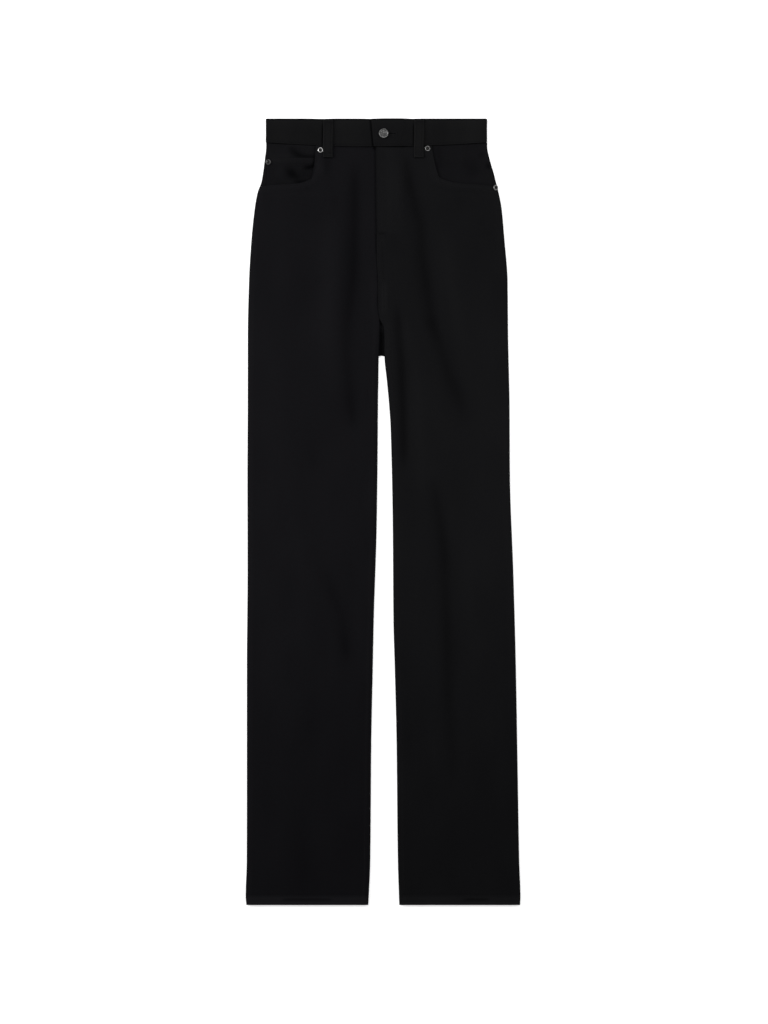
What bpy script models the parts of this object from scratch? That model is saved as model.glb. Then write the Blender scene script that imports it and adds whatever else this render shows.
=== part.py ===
"""Slim jeans lying flat with the front up, as the separate pieces that they are sewn from.

The origin is on the surface that they lie on, under the middle of their outline. +X is to the
right of someone who looks down on them, which is the wearer's left, +Y is towards the waist and
+Z is up. Tables are in millimetres. "Across" is a place along X, and a "drop" is a distance down
from the top edge of the waistband.
"""

import math

import bmesh
import bpy
from mathutils import Vector
from mathutils.bvhtree import BVHTree

MM = 0.001

# Driving sizes
LENGTH = 1120.0
WALL = 1.2
POCKET_WALL = 1.0
SEAM = 0.3
CROTCH = 338.0
HEM_DEPTH = 16.0
HEM_EXTRA = 0.6

# Side seams, as the outline shows them
SIDES = (
    # drop, right, left
    (0.0, -167.1, 148.3),
    (40.0, -166.5, 148.4),
    (56.0, -168.2, 151.4),
    (79.0, -171.2, 158.0),
    (90.0, -173.2, 160.7),
    (107.0, -178.9, 164.8),
    (127.0, -182.6, 168.7),
    (173.0, -187.5, 173.0),
    (230.0, -190.9, 177.4),
    (310.0, -192.7, 178.2),
    (407.0, -192.8, 180.2),
    (509.0, -193.2, 180.8),
    (646.0, -193.0, 185.6),
    (783.0, -194.0, 189.3),
    (953.0, -194.0, 192.2),
    (1056.0, -194.2, 194.0),
    (1107.0, -195.7, 195.7),
    (1120.0, -194.7, 195.2),
)
# Edges of the fronts at the fly, where the right front runs on beneath the left one
FLY_LOW = 166.0
FLY_EDGES = (
    # drop, right, left
    (38.0, 6.0, -10.9),
    (140.0, 5.0, -9.8),
    (166.0, -9.7, -9.4),
)
# Centre seam of the fronts below the fly, down to where they part
CENTRE_LOW = 286.0
CENTRE_SEAM = (
    # drop, across
    (166.0, -9.55),
    (197.0, -9.45),
    (230.0, -7.55),
    (273.0, -7.0),
    (286.0, -5.0),
)
# Inner edges from there down. The backs part only at the crotch
INSEAMS = (
    # drop, right, left
    (286.0, -5.15, -4.85),
    (298.0, -4.9, 1.2),
    (312.0, -5.0, 1.9),
    (339.0, -6.2, 2.1),
    (372.0, -6.6, 5.3),
    (407.0, -7.2, 8.6),
    (441.0, -7.4, 10.8),
    (577.0, -9.0, 13.8),
    (714.0, -13.2, 14.8),
    (783.0, -14.6, 16.7),
    (885.0, -16.7, 19.2),
    (1056.0, -18.2, 21.1),
    (1120.0, -20.9, 23.1),
)
# The back seam is straight, from the waist to the crotch
BACK_SEAM_TOP = -9.2
BACK_SEAM_LOW = -2.1

# Pocket mouths, from the side seam up to the waistband
MOUTHS = {
    # across, drop
    "right": ((-175.3, 97.0), (-156.7, 94.6), (-125.4, 92.8), (-112.6, 90.4), (-101.2, 84.0),
              (-97.6, 70.5), (-96.9, 55.0), (-95.5, 38.5)),
    "left": ((162.7, 97.0), (145.2, 94.8), (109.6, 91.8), (95.3, 89.4), (76.8, 81.0),
             (72.6, 64.0), (70.8, 50.0), (69.7, 38.7)),
}
# Height of a front's lower face above the seam level, where it is not rounded down at an edge
LOFT = (
    # drop, height
    (38.0, 2.4),
    (60.0, 2.6),
    (110.0, 2.6),
    (250.0, 2.6),
    (340.0, 2.7),
    (450.0, 2.4),
    (700.0, 2.2),
    (950.0, 2.0),
    (1120.0, 1.9),
)
# Widths over which a front rounds down at its seams, and where its legs begin to part
SIDE_ROUND = 15.0
INSEAM_ROUND = 13.0
PARTING_START = 276.0
PARTING_RUN = 50.0
# Lower faces of the right and the left front at the fly
FLY_UNDER_LOW = 2.85
FLY_OVER_LOW = 4.45
FLY_TOP_LIFT = 0.4
# The fronts are thicker by this much along their centre seam
SEAM_EXTRA = 0.5
# Main folds of the fronts, each a line of stations. A depth below zero is a trough
FOLDS = (
    # across, drop, depth, half width
    ((-39.9, 56.0, 0.0, 12.0), (-39.9, 88.0, -0.8, 12.0), (-40.7, 123.0, -1.1, 13.0),
     (-41.4, 173.0, -1.4, 13.0), (-42.8, 216.0, -1.4, 13.0), (-47.1, 258.0, -1.3, 13.0),
     (-49.9, 294.0, -1.0, 13.0), (-51.3, 337.0, -0.9, 13.0), (-48.5, 372.0, -1.0, 13.0),
     (-44.2, 415.0, -1.0, 12.0), (-39.9, 444.0, 0.0, 12.0)),
    ((32.7, 46.0, 0.0, 11.0), (37.0, 85.0, -1.0, 11.0), (44.1, 123.0, -1.2, 12.0),
     (52.6, 156.0, -1.1, 12.0), (55.5, 194.0, -1.1, 12.0), (62.6, 241.0, -1.2, 12.0),
     (69.7, 290.0, -1.3, 13.0), (81.1, 322.0, -1.1, 13.0), (92.5, 361.0, -1.0, 13.0),
     (106.7, 394.0, -1.0, 13.0), (121.0, 444.0, 0.0, 12.0)),
    ((20.6, 267.0, 0.0, 8.0), (21.3, 308.0, -0.8, 9.0), (25.6, 358.0, -1.0, 9.0),
     (28.4, 415.0, -1.0, 9.0), (29.8, 465.0, -0.9, 9.0), (31.3, 508.0, 0.0, 9.0)),
    ((69.7, 506.0, 0.0, 11.0), (75.4, 539.0, -0.7, 11.0), (82.5, 586.0, -0.9, 12.0),
     (88.2, 629.0, -1.1, 12.0), (91.1, 686.0, -1.1, 12.0), (92.5, 757.0, -1.1, 12.0),
     (94.6, 842.0, -0.9, 12.0), (98.2, 913.0, -0.5, 12.0), (99.6, 970.0, 0.0, 12.0)),
    ((-84.1, 637.0, 0.0, 13.0), (-74.1, 669.0, -0.7, 13.0), (-59.9, 706.0, -0.8, 13.0),
     (-52.8, 750.0, -0.9, 12.0), (-49.9, 788.0, 0.0, 12.0)),
    ((-72.0, 110.0, 0.0, 18.0), (-76.0, 180.0, 0.5, 20.0), (-82.0, 300.0, 0.5, 20.0),
     (-84.0, 400.0, 0.0, 18.0)),
    ((84.0, 130.0, 0.0, 15.0), (92.0, 200.0, 0.5, 16.0), (108.0, 290.0, 0.5, 16.0),
     (122.0, 350.0, 0.0, 15.0)),
    ((45.0, 300.0, 0.0, 12.0), (49.0, 372.0, 0.5, 13.0), (53.0, 458.0, 0.5, 13.0),
     (58.0, 540.0, 0.0, 12.0)),
    ((-112.0, 560.0, 0.0, 20.0), (-116.0, 700.0, 0.4, 20.0), (-118.0, 860.0, 0.0, 20.0)),
    ((118.0, 560.0, 0.0, 18.0), (126.0, 690.0, 0.5, 18.0), (130.0, 860.0, 0.0, 18.0)),
)

# Waistband
BAND_WALL = 2.4
BAND_SIDE_DROP = 34.0
BAND_CENTRE_DROP = 40.0
BAND_MIDDLE = -9.4
BAND_HALF = 158.0
BAND_FRONT_Z = 4.5
UNDER_END_Z = 4.0
OVER_END_Z = 6.7
OVER_END = -15.0
UNDER_END = 23.0
# Where the over end slopes down to the rest of the front, and the under end likewise
OVER_STEP = (24.0, 43.0)
UNDER_STEP = (-62.0, -34.0)
# Its edges round off over this much, to this share of its thickness
BAND_ROUND = 1.3
BAND_EDGE_SHARE = 0.55

# Belt loops: the middle of each across, and how far down each one ends
LOOP_WIDTH = 14.0
LOOP_WALL = 1.8
LOOP_TOP = 2.0
FRONT_LOOP_END = 56.0
BACK_LOOP_END = 50.0
BACK_LOOP_WALL = 1.0
LOOP_SLACK = 0.7
LOOP_EDGE_THINNING = 0.5
FRONT_LOOPS = {"right": -78.4, "left": 51.2}
BACK_LOOPS = {"right": -112.0, "centre": -9.2, "left": 94.0}

# Yokes and back pockets, which lie underneath
YOKE_SIDE_DROP = 74.0
YOKE_CENTRE_DROP = 102.0
# The backs' rows level out over this much below the yokes, and a yoke's side ends near this drop
YOKE_REACH = 60.0
YOKE_LAST_ROW = 90.0
BACK_POCKETS = {"right": -97.0, "left": 82.0}
BACK_POCKET_TOP = 124.0
BACK_POCKET_SIDE = 116.0
BACK_POCKET_POINT = 148.0
BACK_POCKET_TOP_HALF = 62.0
BACK_POCKET_LOW_HALF = 55.0
RECESS_DEPTH = 1.3
RECESS_MARGIN = 0.4
# Cutters start this far outside what they cut
CUTTER_START = -1.0

# Front pocket pieces. A facing runs on beneath the front, and so does the coin pocket
FACING_GAP = 0.6
FACING_LOW_DROP = 106.0
FACING_INNER = {"right": -80.0, "left": 55.0}
COIN_GAP = 0.5
COIN_CLEARANCE = 0.2
COIN_OUTER = -165.5
COIN_INNER = -90.0
COIN_TOP = 56.0
COIN_LOW = 102.0

# Button and rivets
BUTTON_ACROSS = 0.9
BUTTON_DROP = 20.9
BUTTON_RADIUS = 7.2
SHANK_RADIUS = 2.3
BUTTONHOLE_LENGTH = 17.0
BUTTONHOLE_WIDTH = 1.4
# The buttonhole's cutters start this far above the under end, and reach this far up
BUTTONHOLE_CLEARANCE = 0.15
BUTTONHOLE_CUT = 4.0
RIVET_RADIUS = 4.3
RIVETS = {
    # across, drop
    "rivet_mouth_right": (-90.1, 44.8),
    "rivet_mouth_left": (63.6, 43.7),
    "rivet_coin_pocket": (-163.1, 62.5),
    "rivet_side_left": (158.2, 100.0),
}
BUTTON_PROFILE = (
    # radius, height
    (0.0, 0.0),
    (SHANK_RADIUS, 0.0),
    (SHANK_RADIUS, 2.9),
    (6.6, 3.0),
    (BUTTON_RADIUS, 3.4),
    (BUTTON_RADIUS, 4.2),
    (6.5, 5.0),
    (5.5, 5.2),
    (5.0, 4.9),
    (2.5, 5.1),
    (0.0, 5.3),
)
RIVET_PROFILE = (
    # radius, height
    (0.0, 0.0),
    (4.0, 0.0),
    (RIVET_RADIUS, 0.4),
    (3.7, 1.1),
    (2.8, 1.5),
    (2.0, 1.0),
    (1.5, 1.0),
    (0.9, 1.4),
    (0.0, 1.5),
)

# Shares of a panel's width at which its columns stand, closer at the edges that round down
FRONT_COLUMNS = (0.0, 0.012, 0.035, 0.075, 0.13, 0.185, 0.24, 0.295, 0.35, 0.4, 0.45, 0.5, 0.55, 0.6,
                 0.65, 0.7, 0.75, 0.8, 0.85, 0.9, 0.945, 0.975, 0.99, 1.0)
MOUTH_SHARE = 0.5
# Rows of a front: shares of the way from the mouth down to the first level row, then drops
FIRST_LEVEL = 135.0
TOP_ROWS = (0.0, 0.04, 0.13, 0.27, 0.45, 0.63, 0.82)
FRONT_ROWS = (FIRST_LEVEL, 150.0, 160.0, 168.0, 182.0, 200.0, 225.0, 250.0, 270.0, 286.0, 292.0, 298.0,
              305.0, 314.0, 324.0, 332.0, 339.0, 350.0, 367.0, 388.0, 412.0, 440.0, 475.0, 510.0,
              560.0, 610.0, 660.0, 710.0, 760.0, 810.0, 860.0, 910.0, 960.0, 1010.0, 1060.0, 1085.0,
              LENGTH - HEM_DEPTH - 1.5, LENGTH - HEM_DEPTH + 1.0, LENGTH - 1.0, LENGTH)
BACK_COLUMNS = 20
BACK_ROWS = (112.0, 122.0, 132.0, 142.0, 152.0, 162.0, 172.0, 182.0, 192.0, 202.0, 212.0, 222.0,
             232.0, 242.0, 252.0, 262.0, 272.0, 282.0, 292.0, 320.0, 336.0, 340.0, 372.0, 407.0,
             441.0, 509.0, 577.0, 646.0, 714.0, 783.0, 885.0, 980.0, 1056.0,
             LENGTH - HEM_DEPTH - 1.5, LENGTH - HEM_DEPTH + 1.0, LENGTH)


def smooth(t):
    """0 to 1 with a soft start and a soft end."""
    t = min(1.0, max(0.0, t))
    return t * t * (3.0 - 2.0 * t)


def quarter_round(t):
    """Rise of a rounded edge, from 0 at its foot to 1 on top."""
    t = min(1.0, max(0.0, t))
    return math.sqrt(1.0 - (1.0 - t) ** 2)


def larger(a, b, blend=0.6):
    """The larger of two heights, with a soft corner where they cross."""
    near = max(blend - abs(a - b), 0.0) / blend
    return max(a, b) + near * near * blend / 4.0


def mix(a, b, share):
    return a + (b - a) * share


def read(table, at, column=1):
    """A table's value between two rows, on a smooth curve that never overshoots them."""
    if at <= table[0][0]:
        return table[0][column]
    if at >= table[-1][0]:
        return table[-1][column]
    k = 0
    while table[k + 1][0] < at:
        k += 1

    def slope(i):
        if i == 0 or i == len(table) - 1:
            j = min(i, len(table) - 2)
            return (table[j + 1][column] - table[j][column]) / (table[j + 1][0] - table[j][0])
        before = (table[i][column] - table[i - 1][column]) / (table[i][0] - table[i - 1][0])
        after = (table[i + 1][column] - table[i][column]) / (table[i + 1][0] - table[i][0])
        if before * after <= 0.0:
            return 0.0
        return 2.0 * before * after / (before + after)

    width = table[k + 1][0] - table[k][0]
    t = (at - table[k][0]) / width
    start, end = table[k][column], table[k + 1][column]
    ease = t * t * (3.0 - 2.0 * t)
    leave = t * (1.0 - t) ** 2 * width * slope(k)
    arrive = t * t * (1.0 - t) * width * slope(k + 1)
    return start + (end - start) * ease + leave - arrive


def smooth_line(stations, steps=12):
    """Close stations on a smooth curve through the given ones, in all of their columns."""
    fine = []
    for k in range(len(stations) - 1):
        before = stations[max(k - 1, 0)]
        start, end = stations[k], stations[k + 1]
        after = stations[min(k + 2, len(stations) - 1)]
        for step in range(steps):
            t = step / steps
            fine.append(tuple(
                0.5 * (2.0 * b + (c - a) * t + (2.0 * a - 5.0 * b + 4.0 * c - d) * t * t
                       + (3.0 * b - a - 3.0 * c + d) * t ** 3)
                for a, b, c, d in zip(before, start, end, after)
            ))
    fine.append(tuple(stations[-1]))
    return fine


def along(line, shares):
    """Points at these shares of a line's length."""
    lengths = [0.0]
    for a, b in zip(line, line[1:]):
        lengths.append(lengths[-1] + math.dist(a, b))
    found = []
    for share in shares:
        want = share * lengths[-1]
        k = 0
        while k < len(line) - 2 and lengths[k + 1] < want:
            k += 1
        t = (want - lengths[k]) / (lengths[k + 1] - lengths[k])
        found.append((mix(line[k][0], line[k + 1][0], t), mix(line[k][1], line[k + 1][1], t)))
    return found


FOLD_LINES = [smooth_line(stations, 4) for stations in FOLDS]


def side_seam(side, drop):
    return read(SIDES, drop, 1 if side == "right" else 2)


def front_edge(side, drop):
    column = 1 if side == "right" else 2
    if drop < FLY_LOW:
        return read(FLY_EDGES, drop, column)
    if drop < CENTRE_LOW:
        return read(CENTRE_SEAM, drop) + (-SEAM / 2.0 if side == "right" else SEAM / 2.0)
    return read(INSEAMS, drop, column)


def back_edge(side, drop):
    if drop > CROTCH:
        return read(INSEAMS, drop, 1 if side == "right" else 2)
    middle = mix(BACK_SEAM_TOP, BACK_SEAM_LOW, drop / CROTCH)
    return middle + (-SEAM / 2.0 if side == "right" else SEAM / 2.0)


def band_drop(across):
    """Lower edge of the waistband, which bows down towards the centre."""
    reach = (across - BAND_MIDDLE) / BAND_HALF
    return mix(BAND_CENTRE_DROP, BAND_SIDE_DROP, min(1.0, reach * reach))


def yoke_drop(across):
    """Lower edge of the yokes, a shallow V."""
    reach = min(1.0, abs(across - BAND_MIDDLE) / 162.0)
    return mix(YOKE_CENTRE_DROP, YOKE_SIDE_DROP, reach)


def in_box(across, drop, middle, half, top, low, fade_across, fade_drop):
    """1 inside a box and 0 past a soft border round it."""
    out_across = max(0.0, abs(across - middle) - half) / fade_across
    out_drop = max(0.0, top - drop, drop - low) / fade_drop
    return smooth(1.0 - math.hypot(out_across, out_drop))


def back_lift(across, drop):
    """How far the backs and yokes thicken upwards over what lies beneath them."""
    lift = 0.0
    for middle in BACK_POCKETS.values():
        lift = max(lift, 1.5 * in_box(across, drop, middle, BACK_POCKET_TOP_HALF + 9.0,
                                      BACK_POCKET_TOP - 10.0,
                                      BACK_POCKET_TOP + BACK_POCKET_POINT + 11.0, 12.0, 14.0))
    for middle in BACK_LOOPS.values():
        lift = max(lift, 1.2 * in_box(across, drop, middle, LOOP_WIDTH / 2.0 + 9.5,
                                      0.0, BACK_LOOP_END + 8.0, 14.0, 12.0))
    return lift


def hem_extra(drop):
    """Extra thickness of the turned hem."""
    return HEM_EXTRA * smooth((drop - (LENGTH - HEM_DEPTH - 1.5)) / 2.5)


def back_top(across, drop):
    return WALL + back_lift(across, drop) + hem_extra(drop)


def facing_low(across, drop):
    return back_top(across, drop) + FACING_GAP


def coin_low(across, drop):
    return facing_low(across, drop) + POCKET_WALL + COIN_GAP


def one_fold(line, across, drop):
    """Height of one fold at a point, from the nearest place on its line."""
    nearest, depth, half_width = math.inf, 0.0, 1.0
    for start, end in zip(line, line[1:]):
        run_x, run_d = end[0] - start[0], end[1] - start[1]
        t = ((across - start[0]) * run_x + (drop - start[1]) * run_d) / (run_x ** 2 + run_d ** 2)
        t = min(1.0, max(0.0, t))
        away = math.hypot(across - start[0] - t * run_x, drop - start[1] - t * run_d)
        if away < nearest:
            nearest = away
            depth = mix(start[2], end[2], t)
            half_width = mix(start[3], end[3], t)
    return depth * math.exp(-(nearest / half_width) ** 2)


def fold_height(across, drop):
    """Sum of the folds at a point, each a soft trough or ridge that fades at its ends."""
    return sum(one_fold(line, across, drop) for line in FOLD_LINES)


def beneath_front(side, across, drop):
    """Top of whatever a front lies on."""
    top = back_top(across, drop)
    outer, inner = side_seam(side, drop), FACING_INNER[side]
    middle, half = (outer + inner) / 2.0, abs(outer - inner) / 2.0
    cover = in_box(across, drop, middle, half + 3.0, 0.0, FACING_LOW_DROP + 3.0, 22.0, 20.0)
    top += cover * (FACING_GAP + POCKET_WALL)
    if side == "right":
        outer, inner = COIN_OUTER - 3.0, COIN_INNER + 12.0
        middle, half = (outer + inner) / 2.0, (inner - outer) / 2.0
        cover = in_box(across, drop, middle, half, COIN_TOP - 3.0, COIN_LOW + 7.0, 14.0, 16.0)
        top += cover * (COIN_GAP + POCKET_WALL + COIN_CLEARANCE)
    return top


def front_low(side, across, drop):
    """Lower face of a front: lofted, folded, rounded down at its seams, clear of what it covers."""
    outer_rise = quarter_round(abs(across - side_seam(side, drop)) / SIDE_ROUND)
    legs = smooth((drop - PARTING_START) / PARTING_RUN)
    inner_rise = quarter_round(abs(across - front_edge(side, drop)) / INSEAM_ROUND)
    rise = outer_rise * mix(1.0, inner_rise, legs)
    height = WALL + SEAM + (read(LOFT, drop) + fold_height(across, drop)) * rise
    # At the fly the right front dips under the left one, and they level out below the bar tack
    fly = smooth((200.0 - drop) / 30.0)
    if side == "right":
        height = mix(height, FLY_UNDER_LOW, fly * smooth((across + 46.0) / 32.0))
    else:
        over_low = FLY_OVER_LOW + FLY_TOP_LIFT * smooth((60.0 - drop) / 18.0)
        height = mix(height, over_low, fly * smooth((46.0 - across) / 34.0))
    return larger(height, beneath_front(side, across, drop) + SEAM)


def front_wall(side):
    """Wall of a front, doubled at the hem and a little thicker along the centre seam."""

    def wall(across, drop):
        seam = smooth((drop - FLY_LOW) / 6.0) * smooth((CENTRE_LOW + 5.0 - drop) / 10.0)
        near = smooth((9.0 - abs(across - front_edge(side, drop))) / 5.0)
        return WALL + SEAM_EXTRA * seam * near + hem_extra(drop)

    return wall


def point(across, drop, height):
    return Vector((across * MM, (LENGTH / 2.0 - drop) * MM, height * MM))


def material(name, colour, roughness, metallic=0.0):
    made = bpy.data.materials.new(name)
    made.use_nodes = True
    shader = made.node_tree.nodes["Principled BSDF"]
    shader.inputs["Base Color"].default_value = (*colour, 1.0)
    shader.inputs["Roughness"].default_value = roughness
    shader.inputs["Metallic"].default_value = metallic
    made.diffuse_color = (*colour, 1.0)
    return made


def add_object(name, bm, finish):
    """Turns a bmesh into an object in the scene, with its faces pointing out."""
    bmesh.ops.recalc_face_normals(bm, faces=bm.faces)
    mesh = bpy.data.meshes.new(name)
    bm.to_mesh(mesh)
    bm.free()
    mesh.materials.append(finish)
    mesh.shade_smooth()
    mesh.set_sharp_from_angle(angle=math.radians(40.0))
    obj = bpy.data.objects.new(name, mesh)
    bpy.context.scene.collection.objects.link(obj)
    return obj


def sheet(name, plan, low, wall, finish, flat=False):
    """Closed sheet over rows of (across, drop), or with one flat face for all of its underside."""
    bm = bmesh.new()
    rows, columns = len(plan), len(plan[0])
    tops = [[bm.verts.new(point(a, d, low(a, d) + wall(a, d))) for a, d in row] for row in plan]
    border = [(0, j) for j in range(columns)]
    border += [(i, columns - 1) for i in range(1, rows)]
    border += [(rows - 1, j) for j in range(columns - 2, -1, -1)]
    border += [(i, 0) for i in range(rows - 2, 0, -1)]
    if flat:
        lows = {}
        for i, j in border:
            a, d = plan[i][j]
            lows[i, j] = bm.verts.new(point(a, d, low(a, d)))
        bm.faces.new([lows[spot] for spot in border])
    else:
        lows = {(i, j): bm.verts.new(point(a, d, low(a, d)))
                for i, row in enumerate(plan) for j, (a, d) in enumerate(row)}
    for i in range(rows - 1):
        for j in range(columns - 1):
            spots = ((i, j), (i, j + 1), (i + 1, j + 1), (i + 1, j))
            bm.faces.new([tops[r][c] for r, c in spots])
            if not flat:
                bm.faces.new([lows[spot] for spot in reversed(spots)])
    for here, after in zip(border, border[1:] + border[:1]):
        bm.faces.new((tops[here[0]][here[1]], tops[after[0]][after[1]], lows[after], lows[here]))
    return add_object(name, bm, finish)


def even(start, end, count):
    return [mix(start, end, k / count) for k in range(count + 1)]


def front_plan(side):
    """Rows of a front. The top ones follow the pocket mouth and the waist seam, and the rest are level."""
    along_mouth = [u / MOUTH_SHARE for u in FRONT_COLUMNS if u <= MOUTH_SHARE]
    top_row = along(smooth_line(MOUTHS[side]), along_mouth)
    mouth_end = top_row[-1][0]
    for u in FRONT_COLUMNS[len(along_mouth):]:
        share = (u - MOUTH_SHARE) / (1.0 - MOUTH_SHARE)
        across = mix(mouth_end, front_edge(side, BAND_CENTRE_DROP), share)
        top_row.append((across, band_drop(across) + SEAM))
    outer, inner = side_seam(side, FIRST_LEVEL), front_edge(side, FIRST_LEVEL)
    level_row = [(mix(outer, inner, u), FIRST_LEVEL) for u in FRONT_COLUMNS]
    plan = []
    for s in TOP_ROWS:
        side_drop = mix(top_row[0][1], FIRST_LEVEL, s)
        edge_drop = mix(top_row[-1][1], FIRST_LEVEL, s)
        side_off = side_seam(side, side_drop) - mix(top_row[0][0], outer, s)
        edge_off = front_edge(side, edge_drop) - mix(top_row[-1][0], inner, s)
        row = []
        for u, top, low in zip(FRONT_COLUMNS, top_row, level_row):
            off = mix(side_off, edge_off, u) if s > 0.0 else 0.0
            row.append((mix(top[0], low[0], s) + off, mix(top[1], low[1], s)))
        plan.append(row)
    for drop in FRONT_ROWS:
        outer, inner = side_seam(side, drop), front_edge(side, drop)
        plan.append([(mix(outer, inner, u), drop) for u in FRONT_COLUMNS])
    return plan


def make_front(side, finish):
    def low(across, drop):
        return front_low(side, across, drop)

    return sheet(f"front_{side}", front_plan(side), low, front_wall(side), finish)


def ground(across, drop):
    return 0.0


def back_plan(side, rows, level):
    """Rows across a back or yoke, each bent to the drops that level gives along it."""
    plan = []
    for drop in rows:
        places = even(side_seam(side, drop), back_edge(side, drop), BACK_COLUMNS)
        plan.append([(across, level(across, drop)) for across in places])
    return plan


def make_back(side, finish):
    def level(across, drop):
        slope = max(0.0, 1.0 - (drop - YOKE_CENTRE_DROP) / YOKE_REACH)
        return drop + (yoke_drop(across) + SEAM - YOKE_CENTRE_DROP) * slope

    plan = back_plan(side, (YOKE_CENTRE_DROP, *BACK_ROWS), level)
    return sheet(f"back_{side}", plan, ground, back_top, finish, flat=True)


def make_yoke(side, finish):
    def level(across, drop):
        share = (drop - BAND_CENTRE_DROP) / (YOKE_LAST_ROW - BAND_CENTRE_DROP)
        return mix(band_drop(across) + SEAM, yoke_drop(across), share)

    plan = back_plan(side, even(BAND_CENTRE_DROP, YOKE_LAST_ROW, 8), level)
    return sheet(f"yoke_{side}", plan, ground, back_top, finish, flat=True)


def back_pocket_outline(middle, margin=0.0):
    """Five corners of a back pocket, as (across, drop)."""
    top, low = BACK_POCKET_TOP_HALF + margin, BACK_POCKET_LOW_HALF + margin
    return [
        (middle - top, BACK_POCKET_TOP - margin),
        (middle + top, BACK_POCKET_TOP - margin),
        (middle + low, BACK_POCKET_TOP + BACK_POCKET_SIDE),
        (middle, BACK_POCKET_TOP + BACK_POCKET_POINT + margin),
        (middle - low, BACK_POCKET_TOP + BACK_POCKET_SIDE),
    ]


def prism(name, outline, low, high, finish):
    """Flat piece with straight sides over an outline of (across, drop)."""
    bm = bmesh.new()
    face = bm.faces.new([bm.verts.new(point(a, d, low)) for a, d in outline])
    raised = bmesh.ops.extrude_face_region(bm, geom=[face])["geom"]
    moved = [item for item in raised if isinstance(item, bmesh.types.BMVert)]
    bmesh.ops.translate(bm, verts=moved, vec=Vector((0.0, 0.0, (high - low) * MM)))
    return add_object(name, bm, finish)


def cut(obj, cutter):
    """Takes a cutter's shape out of an object, and leaves the cutter out of renders."""
    cutter.hide_render = True
    cutter.display_type = "WIRE"
    modifier = obj.modifiers.new(f"cut_{cutter.name}", "BOOLEAN")
    modifier.operation = "DIFFERENCE"
    modifier.solver = "EXACT"
    modifier.object = cutter


def loop_outline(middle, end, top=LOOP_TOP, margin=0.0):
    half = LOOP_WIDTH / 2.0 + margin
    return [(middle - half, top), (middle + half, top),
            (middle + half, end + margin), (middle - half, end + margin)]


def press_in(obj, name, outline, guide):
    """Recess in an underside for a flat piece that lies there."""
    cut(obj, prism(name, outline, CUTTER_START, RECESS_DEPTH, guide))


def band_line():
    """Middle line of the waistband as (across, z), from its over end all round to its under end."""
    left, right = SIDES[0][2], SIDES[0][1]
    fold_z = (BAND_FRONT_Z + BAND_WALL / 2.0) / 2.0
    radius = BAND_FRONT_Z - fold_z
    inset = BAND_WALL / 2.0 + radius
    turn = [math.radians(a) for a in (60.0, 30.0, 0.0, -30.0, -60.0)]
    line = [(across, OVER_END_Z) for across in (OVER_END, 0.0, OVER_STEP[0])]
    for share in even(0.0, 1.0, 5)[1:]:
        line.append((mix(*OVER_STEP, share), mix(OVER_END_Z, BAND_FRONT_Z, smooth(share))))
    line += [(across, BAND_FRONT_Z) for across in even(60.0, left - inset, 4)]
    line += [(left - inset + radius * math.cos(a), fold_z + radius * math.sin(a)) for a in turn]
    line += [(across, BAND_WALL / 2.0) for across in even(left - inset, right + inset, 12)]
    line += [(right + inset - radius * math.cos(a), fold_z + radius * math.sin(a))
             for a in reversed(turn)]
    line += [(across, BAND_FRONT_Z) for across in even(right + inset, UNDER_STEP[0], 4)]
    for share in even(0.0, 1.0, 4)[1:]:
        line.append((mix(*UNDER_STEP, share), mix(BAND_FRONT_Z, UNDER_END_Z, smooth(share))))
    line += [(across, UNDER_END_Z) for across in (OVER_END, 4.0, UNDER_END)]
    return line


def make_waistband(finish):
    """A folded strip all round, swept as one thick line and cut to its bowed lower edge."""
    line = band_line()
    bm = bmesh.new()
    rings = []
    for k, (x, z) in enumerate(line):
        before, after = line[max(k - 1, 0)], line[min(k + 1, len(line) - 1)]
        run = math.dist(before, after)
        normal = ((before[1] - after[1]) / run, (after[0] - before[0]) / run)
        low_edge = band_drop(x)
        section = [(0.0, BAND_EDGE_SHARE), (BAND_ROUND, 1.0), (low_edge - BAND_ROUND, 1.0),
                   (low_edge, BAND_EDGE_SHARE)]
        ring = []
        for way, stations in ((1.0, section), (-1.0, reversed(section))):
            for drop, share in stations:
                reach = way * share * BAND_WALL / 2.0
                ring.append(bm.verts.new(point(x + normal[0] * reach, drop, z + normal[1] * reach)))
        rings.append(ring)
    for here, after in zip(rings, rings[1:]):
        for k in range(len(here)):
            m = (k + 1) % len(here)
            bm.faces.new((here[k], here[m], after[m], after[k]))
    bm.faces.new(rings[0])
    bm.faces.new(reversed(rings[-1]))
    return add_object("waistband", bm, finish)


def turned(name, profile, across, drop, seat, finish, segments=20):
    """Round piece turned from (radius, height) pairs that start and end on its axis."""
    bm = bmesh.new()
    rings = []
    for radius, height in profile:
        if radius == 0.0:
            rings.append([bm.verts.new(point(across, drop, seat + height))])
            continue
        ring = []
        for k in range(segments):
            turn = 2.0 * math.pi * k / segments
            ring.append(bm.verts.new(point(across + radius * math.cos(turn),
                                           drop + radius * math.sin(turn), seat + height)))
        rings.append(ring)
    for here, after in zip(rings, rings[1:]):
        for k in range(segments):
            m = (k + 1) % segments
            if len(here) == 1:
                bm.faces.new((here[0], after[k], after[m]))
            elif len(after) == 1:
                bm.faces.new((here[k], here[m], after[0]))
            else:
                bm.faces.new((here[k], here[m], after[m], after[k]))
    return add_object(name, bm, finish)


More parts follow.
